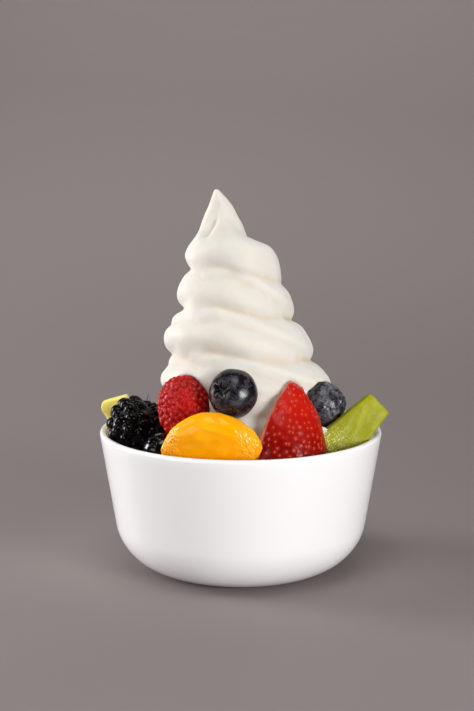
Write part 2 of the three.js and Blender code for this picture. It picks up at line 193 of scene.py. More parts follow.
def joined(skins: list[Surface]) -> Surface:
    """Many skins of one kind as a single mesh.

    Args:
        skins: points and faces of each, all with the same kinds of faces in the same order.

    Returns:
        Points and faces of all.
    """
    starts = np.cumsum([0] + [len(points) for points, _ in skins[:-1]])
    kinds = zip(*(faces for _, faces in skins))
    faces = [np.concatenate([part + at for part, at in zip(kind, starts)]) for kind in kinds]
    return np.concatenate([points for points, _ in skins]), faces


@lru_cache(maxsize=None)
def icosphere(subdivisions: int) -> tuple[Array, Array]:
    """Even triangles over a sphere of radius 1, as points and faces.

    Args:
        subdivisions: how fine it is.

    Returns:
        Points and triangles.
    """
    ball = bmesh.new()
    bmesh.ops.create_icosphere(ball, subdivisions=subdivisions, radius=1)
    points = np.array([vertex.co[:] for vertex in ball.verts])
    faces = np.array([[vertex.index for vertex in face.verts] for face in ball.faces])
    ball.free()
    return points, faces


def edges_of(faces: list[Array]) -> Array:
    """Every side of every face, as pairs of point numbers.

    Args:
        faces: the faces, by their number of corners.

    Returns:
        One pair a side.
    """
    sides = [
        np.stack([part, np.roll(part, -1, axis=1)], axis=-1).reshape(-1, 2) for part in faces
    ]
    return np.concatenate(sides)


def neighbour_mean(values: Array, edges: Array) -> Array:
    """Mean of each point's neighbours, for values of one or more columns.

    Args:
        values: one row a point.
        edges: pairs of point numbers.

    Returns:
        The means, in the shape of the values.
    """
    columns = values.reshape(len(values), -1)
    ends = np.concatenate([edges, edges[:, ::-1]])
    count = np.bincount(ends[:, 0], minlength=len(values))
    sums = [np.bincount(ends[:, 0], column[ends[:, 1]], len(values)) for column in columns.T]
    means = np.stack(sums, axis=1) / np.maximum(count, 1)[:, None]
    return means.reshape(values.shape)


def normals_of(points: Array, faces: list[Array]) -> Array:
    """Outward direction at each point.

    Args:
        points: the mesh's points.
        faces: its faces, by their number of corners.

    Returns:
        One direction a point, of length 1.
    """
    total = np.zeros_like(points)
    for part in faces:
        corners = points[part]
        across = np.cross(corners[:, 2] - corners[:, 0], corners[:, -1] - corners[:, 1])
        for corner in range(part.shape[1]):
            for axis in range(3):
                total[:, axis] += np.bincount(part[:, corner], across[:, axis], len(points))
    return total / np.maximum(np.linalg.norm(total, axis=1, keepdims=True), 1e-12)


def cavity_of(points: Array, faces: list[Array], rounds: int) -> Array:
    """How deep each point lies in a crease, blurred over some rounds; below 0 on a crest.

    Args:
        points: the mesh's points.
        faces: its faces.
        rounds: how often the depth is blurred.

    Returns:
        One depth a point, of which nearly all are between -1 and 1.
    """
    edges = edges_of(faces)
    inset = neighbour_mean(points, edges) - points
    depth = (inset * normals_of(points, faces)).sum(axis=1)
    for _ in range(rounds):
        depth = neighbour_mean(depth, edges)
    return depth / np.percentile(np.abs(depth), 96)


def surface_net(values: Array, axes: tuple[Array, Array, Array]) -> Surface:
    """Skin of quads where a field crosses 0.

    Args:
        values: field on a grid, below 0 inside.
        axes: the grid's coordinates along X, Y and Z.

    Returns:
        Points and faces.
    """
    inside = values < 0
    shifts = [(a, b, c) for a in (0, 1) for b in (0, 1) for c in (0, 1)]
    size = [count - 1 for count in values.shape]
    full = np.zeros(size, np.uint8)
    for a, b, c in shifts:
        full += inside[a : a + size[0], b : b + size[1], c : c + size[2]]
    crossed = (full > 0) & (full < 8)
    cells = np.argwhere(crossed)
    numbers = np.full(size, -1, np.int32)
    numbers[crossed] = np.arange(len(cells))
    corners = {shift: values[tuple((cells + shift).T)] for shift in shifts}
    total = np.zeros((len(cells), 3))
    count = np.zeros(len(cells))
    for start in shifts:
        for axis in range(3):
            if start[axis]:
                continue
            end = tuple(1 if at == axis else start[at] for at in range(3))
            crossing = (corners[start] < 0) != (corners[end] < 0)
            near = corners[start][crossing]
            point = np.tile(np.array(start, float), (len(near), 1))
            point[:, axis] = near / (near - corners[end][crossing])
            total[crossing] += point
            count[crossing] += 1
    within = total / count[:, None]
    points = np.stack(
        [lerp(axis[cells[:, at]], axis[cells[:, at] + 1], within[:, at])
         for at, axis in enumerate(axes)],
        axis=1,
    )
    quads = []
    for axis in range(3):
        one, other = [at for at in range(3) if at != axis]
        low = inside.take(range(size[axis]), axis)
        high = inside.take(range(1, size[axis] + 1), axis)
        for outward, changed in ((True, low & ~high), (False, ~low & high)):
            found = np.argwhere(changed)
            for at in (one, other):
                found = found[(found[:, at] > 0) & (found[:, at] < size[at])]
            ring = []
            for step_one, step_other in ((-1, -1), (0, -1), (0, 0), (-1, 0)):
                cell = found.copy()
                cell[:, one] += step_one
                cell[:, other] += step_other
                ring.append(numbers[tuple(cell.T)])
            quad = np.stack(ring, axis=1)
            flipped = outward == (axis == 1)
            quads.append(quad[:, ::-1] if flipped else quad)
    return points, [np.concatenate(quads)]


@dataclass(frozen=True)
class Place:
    """Where a fruit stands: a point, the direction of its own Z and a hint for its X."""

    point: Triple
    up: Triple
    along: Triple = (1, 0, 0)

    def axes(self) -> Array:
        """The fruit's own X, Y and Z as rows.

        Returns:
            The three directions.
        """
        up = unit(np.array(self.up, float))
        along = np.array(self.along, float)
        along = unit(along - along.dot(up) * up)
        return np.stack([along, np.cross(up, along), up])

    def put(self, points: Array) -> Array:
        """Moves points from the fruit's own frame to the model's."""
        return points @ self.axes() + np.array(self.point)


# --- pieces and materials ---


def add_node(
    tree: bpy.types.NodeTree, kind: str, inputs: dict | None = None, **settings: object
) -> bpy.types.Node:
    """Adds a node with its settings and links.

    Args:
        tree: the material's node tree.
        kind: the node's type name.
        inputs: value, or socket to link from, for each input by name or number.
        settings: the node's own properties.

    Returns:
        The new node.
    """
    node = tree.nodes.new(kind)
    for name, value in settings.items():
        setattr(node, name, value)
    for name, value in (inputs or {}).items():
        if isinstance(value, bpy.types.NodeSocket):
            tree.links.new(value, node.inputs[name])
        else:
            node.inputs[name].default_value = value
    return node


def linear(hex_code: str) -> tuple[float, float, float, float]:
    """Linear colour, with alpha 1, of an sRGB hex value.

    Args:
        hex_code: six hex digits.

    Returns:
        Red, green, blue and alpha.
    """
    channels = [int(hex_code[at : at + 2], 16) / 255 for at in (0, 2, 4)]
    light = [c / 12.92 if c <= 0.04045 else ((c + 0.055) / 1.055) ** 2.4 for c in channels]
    return (*light, 1.0)


def per_mm(size: float) -> float:
    """Scale of a texture in metres whose pattern is so many millimetres wide."""
    return 1 / (size * MM)


def make_material(name: str, rows: dict[str, tuple], skin: dict) -> bpy.types.Material:
    """Makes a material from a table of nodes.

    Args:
        name: the material's name.
        rows: each node by its label, as its type after "ShaderNode", its inputs and its own
            properties. ">label" or ">label.output" as an input links it from another row.
        skin: inputs of the Principled shader, written the same way.

    Returns:
        The material.
    """
    material = bpy.data.materials.new(name)
    material.use_nodes = True
    tree = material.node_tree
    tree.nodes.clear()
    made = {}
    ends = {"shader": ("BsdfPrincipled", skin), "output": ("OutputMaterial", {0: ">shader"})}
    for label, (kind, *rest) in {**rows, **ends}.items():
        inputs, settings = (*rest, {}, {})[:2]
        sockets = {}
        for socket, value in inputs.items():
            if isinstance(value, str):
                source, _, output = value[1:].partition(".")
                value = made[source].outputs[int(output) if output.isdigit() else output or 0]
            sockets[socket] = value
        made[label] = add_node(tree, "ShaderNode" + kind, sockets, **settings)
    return material


def add_piece(
    name: str,
    surface: Surface,
    material: bpy.types.Material,
    node: str | None = None,
    attributes: dict[str, Array] | None = None,
) -> bpy.types.Object:
    """Makes a mesh piece that rides on the body.

    Args:
        name: the piece's name.
        surface: points in millimetres, and faces.
        material: its finish.
        node: the CAD node that it stands for.
        attributes: one number a point for the material, by name.

    Returns:
        The new object.
    """
    points, faces = surface
    corners = np.concatenate([part.ravel() for part in faces])
    sizes = np.concatenate([np.full(len(part), part.shape[1]) for part in faces])
    mesh = bpy.data.meshes.new(name)
    mesh.vertices.add(len(points))
    mesh.vertices.foreach_set("co", (points * MM).ravel())
    mesh.loops.add(len(corners))
    mesh.loops.foreach_set("vertex_index", corners.astype(np.int32))
    mesh.polygons.add(len(sizes))
    mesh.polygons.foreach_set("loop_start", (np.cumsum(sizes) - sizes).astype(np.int32))
    mesh.update(calc_edges=True)
    mesh.polygons.foreach_set("use_smooth", np.ones(len(sizes), bool))
    for label, values in (attributes or {}).items():
        layer = mesh.attributes.new(label, "FLOAT", "POINT")
        layer.data.foreach_set("value", values.astype(np.float32))
    mesh.materials.append(material)
    piece = bpy.data.objects.new(name, mesh)
    bpy.context.scene.collection.objects.link(piece)
    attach(piece, BODY)
    if node is not None:
        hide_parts(node)
    log.info("%s: %d points, %d faces", name, len(points), len(sizes))
    return piece


@dataclass(frozen=True)
class GlazedPorcelain:
    """Porcelain, slip-cast, glazed and fired: a white body under a smooth, glossy glass skin."""

    body: str = "F1EEEF"
    roughness: float = 0.16
    wave_mm: float = 14.0  # the glaze pools a little, so reflections waver at about this scale

    def material(self) -> bpy.types.Material:
        """Builds the node material.

        Returns:
            The material.
        """
        rows = {
            "place": ("TexCoord",),
            "wave": ("TexNoise", {
                "Vector": ">place.Object", "Scale": per_mm(self.wave_mm), "Detail": 1.0,
            }),
            "bump": ("Bump", {"Height": ">wave", "Strength": 0.06, "Distance": 0.4 * MM}),
        }
        return make_material("glazed_porcelain", rows, {
            "Base Color": linear(self.body), "Roughness": self.roughness, "IOR": 1.5,
            "Normal": ">bump",
        })


@dataclass(frozen=True)
class SoftYogurt:
    """Soft frozen yogurt, churned with air: moist, matt to satin, and light goes well into it."""

    body: str = "D8D4CC"
    crease_shade: str = "DABE98"  # painted warm shade in the creases, where light that has crossed more of it comes back creamier
    roughness: float = 0.5
    grain_mm: float = 0.7  # fine ice grain
    fold_mm: float = 5.0  # faint drag marks of the nozzle

    def material(self) -> bpy.types.Material:
        """Builds the node material.

        Returns:
            The material.
        """
        rows = {
            "place": ("TexCoord",),
            "depth": ("Attribute", {}, {"attribute_name": "cavity"}),
            # the deeper in a crease, the more of the painted crease shade
            "share": ("MapRange", {
                "Value": ">depth.Fac", "From Min": 0.1, "From Max": 1.5, "To Max": 0.8,
            }),
            "colour": (
                "Mix", {"Factor": ">share", 6: linear(self.body), 7: linear(self.crease_shade)},
                RGBA,
            ),
            "grain": ("TexNoise", {
                "Vector": ">place.Object", "Scale": per_mm(self.grain_mm), "Detail": 3.0,
            }),
            "drag": ("TexNoise", {
                "Vector": ">place.Object", "Scale": per_mm(self.fold_mm), "Detail": 2.0,
            }),
            "coarse": ("Bump", {"Height": ">drag", "Strength": 0.35, "Distance": 0.5 * MM}),
            "fine": ("Bump", {
                "Height": ">grain", "Strength": 0.3, "Distance": 0.08 * MM, "Normal": ">coarse",
            }),
        }
        return make_material("soft_frozen_yogurt", rows, {
            "Base Color": ">colour.2", "Roughness": self.roughness, "IOR": 1.36,
            "Subsurface Weight": 0.8, "Subsurface Radius": (1.0, 0.8, 0.55),
            "Subsurface Scale": 3.2 * MM, "Specular IOR Level": 0.3, "Normal": ">fine",
        })


@dataclass(frozen=True)
class BerrySkin:
    """Skin of a drupelet or berry: thin and shiny over juice, and darker down in the creases, which
    is painted shade.
    """

    name: str
    crest: str
    crease_shade: str
    patch: str  # riper or paler drupelets
    patch_mm: float
    roughness: float
    coat: float
    scatter: float
    scatter_radius: Triple = (1.0, 0.2, 0.1)
    crease_shade_from: float = -0.35  # how deep in a crease the painted shade starts to darken the skin
    crease_shade_span: float = 1.1
    gloss: float = 0.5
    coat_roughness: float = 0.06

    @lru_cache(maxsize=None)
    def material(self) -> bpy.types.Material:
        """Builds the node material.

        Returns:
            The material.
        """
        rows = {
            "place": ("TexCoord",),
            "depth": ("Attribute", {}, {"attribute_name": "cavity"}),
            "patches": ("TexNoise", {
                "Vector": ">place.Object", "Scale": per_mm(self.patch_mm), "Detail": 2.0,
            }),
            "patch_share": ("MapRange", {"Value": ">patches", "From Min": 0.42, "From Max": 0.68}),
            "skin": (
                "Mix", {"Factor": ">patch_share", 6: linear(self.crest), 7: linear(self.patch)},
                RGBA,
            ),
            # painted shade: darker down in the creases between the drupelets
            "depth_share": ("MapRange", {
                "Value": ">depth.Fac", "From Min": self.crease_shade_from,
                "From Max": self.crease_shade_from + self.crease_shade_span,
            }),
            "colour": (
                "Mix", {"Factor": ">depth_share", 6: ">skin.2", 7: linear(self.crease_shade)},
                RGBA,
            ),
            "bump": ("Bump", {"Height": ">patches", "Strength": 0.15, "Distance": 0.15 * MM}),
        }
        return make_material(self.name, rows, {
            "Base Color": ">colour.2", "Roughness": self.roughness, "IOR": 1.4,
            "Subsurface Weight": self.scatter, "Subsurface Radius": self.scatter_radius,
            "Subsurface Scale": 1.2 * MM, "Specular IOR Level": self.gloss,
            "Coat Weight": self.coat, "Coat Roughness": self.coat_roughness,
            "Normal": ">bump",
        })


@dataclass(frozen=True)
class WaxyBlueberry:
    """Blueberry skin: near black, under a matt grey-blue wax bloom that rubs off in patches."""

    name: str
    skin: str = "110C11"
    bloom: str = "5C6370"
    bloom_mm: float = 3.2
    speckle_mm: float = 0.55
    bloom_cover: float = 0.5
    roughness: float = 0.14  # where the bloom is gone

    @lru_cache(maxsize=None)
    def material(self) -> bpy.types.Material:
        """Builds the node material.

        Returns:
            The material.
        """
        low = 0.92 - 0.55 * self.bloom_cover  # noise level at which the bloom starts
        rows = {
            "place": ("TexCoord",),
            "depth": ("Attribute", {}, {"attribute_name": "cavity"}),
            "clouds": ("TexNoise", {
                "Vector": ">place.Object", "Scale": per_mm(self.bloom_mm), "Detail": 5.0,
                "Roughness": 0.65, "Distortion": 0.6,
            }),
            "speckle": ("TexNoise", {
                "Vector": ">place.Object", "Scale": per_mm(self.speckle_mm), "Detail": 2.0,
            }),
            "both": ("Math", {0: ">speckle", 1: 0.35, 2: ">clouds"}, {"operation": "MULTIPLY_ADD"}),
            "share": ("MapRange", {
                "Value": ">both", "From Min": low, "From Max": low + 0.28, "To Max": 0.9,
            }),
            # less bloom down in the creases and the crater, so they show darker: painted shade
            "crest": ("MapRange", {
                "Value": ">depth.Fac", "From Min": -0.4, "From Max": 0.6, "To Min": 1.0,
                "To Max": 0.15,
            }),
            "cover": ("Math", {0: ">share", 1: ">crest"}, {"operation": "MULTIPLY"}),
            "colour": (
                "Mix", {"Factor": ">cover", 6: linear(self.skin), 7: linear(self.bloom)},
                RGBA,
            ),
            "rough": ("MapRange", {"Value": ">cover", "To Min": self.roughness, "To Max": 0.55}),
            "bump": ("Bump", {"Height": ">both", "Strength": 0.2, "Distance": 0.12 * MM}),
        }
        return make_material(self.name, rows, {
            "Base Color": ">colour.2", "Roughness": ">rough", "IOR": 1.45,
            "Specular IOR Level": 0.4, "Normal": ">bump",
        })


@dataclass(frozen=True)
class MandarinPulp:
    """Peeled mandarin in its juice: thin wet membrane over long juice sacs, light glows in it."""

    pulp: str = "FFA600"
    membrane: str = "FFC024"
    sac_mm: float = 1.0  # width of a juice sac
    cloud_mm: float = 5.0
    torn: str = "FFD88C"  # pale specks near the ends: painted glints on the wet juice sacs
    glint_speck_mm: float = 0.75
    roughness: float = 0.36

    @lru_cache(maxsize=None)
    def material(self) -> bpy.types.Material:
        """Builds the node material.

        Returns:
            The material.
        """
        rows = {
            "place": ("TexCoord",),
            "ends": ("Attribute", {}, {"attribute_name": "to_end"}),
            "stretched": ("Mapping", {"Vector": ">place.Object", "Scale": (0.45, 1.0, 1.0)}),
            "sacs": (
                "TexVoronoi",
                {"Vector": ">stretched", "Scale": per_mm(self.sac_mm), "Smoothness": 0.6},
                {"feature": "SMOOTH_F1"},
            ),
            "clouds": ("TexNoise", {
                "Vector": ">place.Object", "Scale": per_mm(self.cloud_mm), "Detail": 3.0,
            }),
            "share": ("MapRange", {
                "Value": ">clouds", "From Min": 0.45, "From Max": 0.75, "To Max": 0.55,
            }),
            "colour": (
                "Mix", {"Factor": ">share", 6: linear(self.pulp), 7: linear(self.membrane)},
                RGBA,
            ),
            "standing": ("MapRange", {"Value": ">ends.Fac", "To Min": 0.08, "To Max": 0.5}),
            "wet": ("MapRange", {"Value": ">ends.Fac", "To Min": 0.25, "To Max": 0.7}),
            # painted glints: pale specks near the ends
            "cells": ("TexNoise", {"Vector": ">place.Object", "Scale": per_mm(self.glint_speck_mm)}),
            "open_cells": ("MapRange", {
                "Value": ">cells", "From Min": 0.58, "From Max": 0.68, "To Max": 0.7,
            }),
            "juicy": ("Math", {0: ">open_cells", 1: ">ends.Fac"}, {"operation": "MULTIPLY"}),
            "torn": ("Mix", {"Factor": ">juicy", 6: ">colour.2", 7: linear(self.torn)}, RGBA),
            "bump": (
                "Bump", {"Height": ">sacs", "Strength": ">standing", "Distance": 0.3 * MM},
                {"invert": True},
            ),
        }
        return make_material("mandarin_pulp", rows, {
            "Base Color": ">torn.2", "Roughness": self.roughness, "IOR": 1.36,
            "Subsurface Weight": 0.35, "Subsurface Radius": (1.0, 0.45, 0.05),
            "Subsurface Scale": 2.5 * MM, "Specular IOR Level": 0.05,
            "Coat Weight": ">wet", "Coat Roughness": 0.08, "Normal": ">bump",
        })


@dataclass(frozen=True)
class StrawberrySkin:
    """Ripe strawberry, cut in half: glossy red skin, and pale wet flesh on the cut."""

    skin: str = "B8160A"
    # painted shade: the lower half, towards the stalk end, is darker
    deep: str = "740302"
    pit: str = "C83A26"
    flesh: str = "EE9A80"
    cloud_mm: float = 4.0
    roughness: float = 0.35

    @lru_cache(maxsize=None)
    def material(self) -> bpy.types.Material:
        """Builds the node material.

        Returns:
            The material.
        """
        rows = {
            "place": ("TexCoord",),
            "down": ("Attribute", {}, {"attribute_name": "from_tip"}),
            "pits": ("Attribute", {}, {"attribute_name": "pit"}),
            "cut": ("Attribute", {}, {"attribute_name": "cut"}),
            "clouds": ("TexNoise", {
                "Vector": ">place.Object", "Scale": per_mm(self.cloud_mm), "Detail": 3.0,
            }),
            # darker towards the stalk end, at the bottom: painted shade
            "depth": ("MapRange", {"Value": ">down.Fac", "From Min": 0.25, "From Max": 0.65}),
            "skin": ("Mix", {"Factor": ">depth", 6: linear(self.skin), 7: linear(self.deep)}, RGBA),
            "pitted": ("Mix", {"Factor": ">pits.Fac", 6: ">skin.2", 7: linear(self.pit)}, RGBA),
            "colour": ("Mix", {"Factor": ">cut.Fac", 6: ">pitted.2", 7: linear(self.flesh)}, RGBA),
            "bump": ("Bump", {"Height": ">clouds", "Strength": 0.2, "Distance": 0.3 * MM}),
        }
        return make_material("strawberry_skin", rows, {
            "Base Color": ">colour.2", "Roughness": self.roughness, "IOR": 1.4,
            "Subsurface Weight": 0.2, "Subsurface Radius": (1.0, 0.15, 0.08),
            "Subsurface Scale": 1.5 * MM, "Specular IOR Level": 0.12,
            "Coat Weight": 0.09, "Coat Roughness": 0.18, "Normal": ">bump",
        })


@dataclass(frozen=True)
class DrySeed:
    """Dry seed or hair on a fruit's skin: hard, matt and straw coloured to brown."""

    name: str
    colour: str
    grain_mm: float = 0.6
    roughness: float = 0.5

    @lru_cache(maxsize=None)
    def material(self) -> bpy.types.Material:
        """Builds the node material.

        Returns:
            The material.
        """
        rows = {
            "place": ("TexCoord",),
            "grain": ("TexNoise", {"Vector": ">place.Object", "Scale": per_mm(self.grain_mm)}),
            "bump": ("Bump", {"Height": ">grain", "Strength": 0.2, "Distance": 0.05 * MM}),
        }
        return make_material(self.name, rows, {
            "Base Color": linear(self.colour), "Roughness": self.roughness,
            "Specular IOR Level": 0.25, "Normal": ">bump",
        })


@dataclass(frozen=True)
class KiwiFlesh:
    """Cut kiwi flesh: wet, translucent green with pale fibres along the cut.

    Its patterns follow the stick's own coordinates, which are in millimetres.
    """

    flesh: str = "8C8E12"
    pale: str = "A6A622"
    fibre_mm: float = 0.5
    cloud_mm: float = 4.0
    roughness: float = 0.5
    torn: str = "DCDC9C"  # pale specks towards the inner end: painted glints of wet juice
    cell_mm: float = 0.62

    def material(self) -> bpy.types.Material:
        """Builds the node material.

        Returns:
            The material.
        """
        rows = {
            "own": ("Attribute", {}, {"attribute_name": "own"}),
            "stretched": ("Mapping", {"Vector": ">own.Vector", "Scale": (0.5, 1.0, 1.0)}),
            "fibres": ("TexNoise", {
                "Vector": ">stretched", "Scale": 1 / self.fibre_mm, "Detail": 3.0,
            }),
            "clouds": ("TexNoise", {
                "Vector": ">own.Vector", "Scale": 1 / self.cloud_mm, "Detail": 2.0,
            }),
            "both": ("Math", {0: ">fibres", 1: 0.6, 2: ">clouds"}, {"operation": "MULTIPLY_ADD"}),
            "share": ("MapRange", {
                "Value": ">both", "From Min": 0.65, "From Max": 1.05, "To Max": 0.8,
            }),
            "colour": (
                "Mix", {"Factor": ">share", 6: linear(self.flesh), 7: linear(self.pale)},
                RGBA,
            ),
            # painted glints: pale specks towards the inner end, which also bump the surface
            "cells": ("TexNoise", {"Vector": ">own.Vector", "Scale": 1 / self.cell_mm}),
            "open_cells": ("MapRange", {
                "Value": ">cells", "From Min": 0.52, "From Max": 0.64, "To Max": 0.75,
            }),
            "split": ("SeparateXYZ", {0: ">own.Vector"}),
            "inner": ("MapRange", {"Value": ">split", "From Min": -1.5, "From Max": -9.0}),
            "juicy": ("Math", {0: ">open_cells", 1: ">inner"}, {"operation": "MULTIPLY"}),
            "torn": ("Mix", {"Factor": ">juicy", 6: ">colour.2", 7: linear(self.torn)}, RGBA),
            "height": ("Math", {0: ">both", 1: ">juicy"}, {"operation": "ADD"}),
            "bump": ("Bump", {"Height": ">height", "Strength": 0.25, "Distance": 0.2 * MM}),
        }
        return make_material("kiwi_flesh", rows, {
            "Base Color": ">torn.2", "Roughness": self.roughness, "IOR": 1.37,
            "Subsurface Weight": 0.25, "Subsurface Radius": (0.8, 1.0, 0.2),
            "Subsurface Scale": 1.5 * MM, "Specular IOR Level": 0.08,
            "Coat Weight": 0.03, "Coat Roughness": 0.1, "Normal": ">bump",
        })


# --- the bowl ---


@dataclass
class Bowl:
    """White bowl with a round lower corner, a straight flared wall and a round lip."""

    height: float = 51.7
    rim_radius: float = 51.8
    foot_radius: float = 26.6
    flare: float = 0.165
    corner_top: float = 16.6
    lip: float = 2.4
    inner_flare: float = 0.177
    floor: float = 3.4
    inner_foot_radius: float = 24.0
    sides: int = 256
    finish: GlazedPorcelain = field(default_factory=GlazedPorcelain)

    def outer_radius(self, level: float) -> float:
        """Radius of the outer wall at a level."""
        return self.rim_radius - (self.height - self.lip / 2 - level) * self.flare

    def inner_radius(self, level: Array) -> Array:
        """Radius of the inner wall's straight part at a level."""
        lip_level = self.height - self.lip / 2
        return self.rim_radius - self.lip - (lip_level - level) * self.inner_flare

    def corner(self, start: Pair, end: Pair, flare: float, steps: int = 28) -> Array:
        """Round corner from a level floor up to a flared wall, as (radius, height) points.

        Args:
            start: end of the floor, as (radius, height).
            end: lower end of the wall.
            flare: how far the wall leans out for each millimetre up.
            steps: how many lengths the corner has.

        Returns:
            The corner's points.
        """
        start, end = np.array(start, float), np.array(end, float)
        corner = np.array([end[0] - (end[1] - start[1]) * flare, start[1]])
        handles = [start, lerp(start, corner, ELLIPSE), lerp(end, corner, ELLIPSE), end]
        share = np.linspace(0, 1, steps + 1)[:, None]
        weights = [(1 - share) ** 3, 3 * share * (1 - share) ** 2]
        weights += [3 * share**2 * (1 - share), share**3]
        return sum(weight * handle for weight, handle in zip(weights, handles))

    def profile(self) -> Array:
        """Closed section, from the foot up over the lip and down to the floor.

        Returns:
            The section's (radius, height) points, in order.
        """
        lip_level = self.height - self.lip / 2
        outer = self.corner(
            (self.foot_radius, 0), (self.outer_radius(self.corner_top), self.corner_top),
            self.flare,
        )
        inner = self.corner(
            (self.inner_foot_radius, self.floor),
            (self.inner_radius(self.corner_top), self.corner_top), self.inner_flare,
        )
        levels = np.linspace(self.corner_top, lip_level, 14)[1:-1]
        outer_wall = np.stack([[self.outer_radius(level) for level in levels], levels], axis=1)
        inner_wall = np.stack([[self.inner_radius(level) for level in levels], levels], axis=1)
        turn = np.linspace(0, math.pi, 17)
        middle = self.rim_radius - self.lip / 2
        lip = np.stack(
            [middle + self.lip / 2 * np.cos(turn), lip_level + self.lip / 2 * np.sin(turn)],
            axis=1,
        )
        foot = np.stack([np.linspace(4, self.foot_radius, 8)[:-1], np.zeros(7)], axis=1)
        floor = np.stack(
            [np.linspace(self.inner_foot_radius, 4, 8)[1:], np.full(7, self.floor)], axis=1
        )
        parts = [foot, outer, outer_wall, lip, inner_wall[::-1], inner[::-1], floor]
        return np.concatenate(parts)

    def build(self) -> None:
        """Turns the section about the axis."""
        profile = self.profile()
        angle = np.linspace(0, FULL_TURN, self.sides, endpoint=False)
        circle = np.stack([np.cos(angle), np.sin(angle), np.zeros_like(angle)], axis=1)
        rings = profile[:, None, :1] * circle[None]
        rings[:, :, 2] = profile[:, 1:]
        # the outer wall runs upwards, so its rings turn the right way round
        skin = loft(rings, np.array([0, 0, 0.0]), np.array([0, 0, self.floor]))
        add_piece("porcelain_bowl", skin, self.finish.material(), "cup")


# --- the yogurt ---


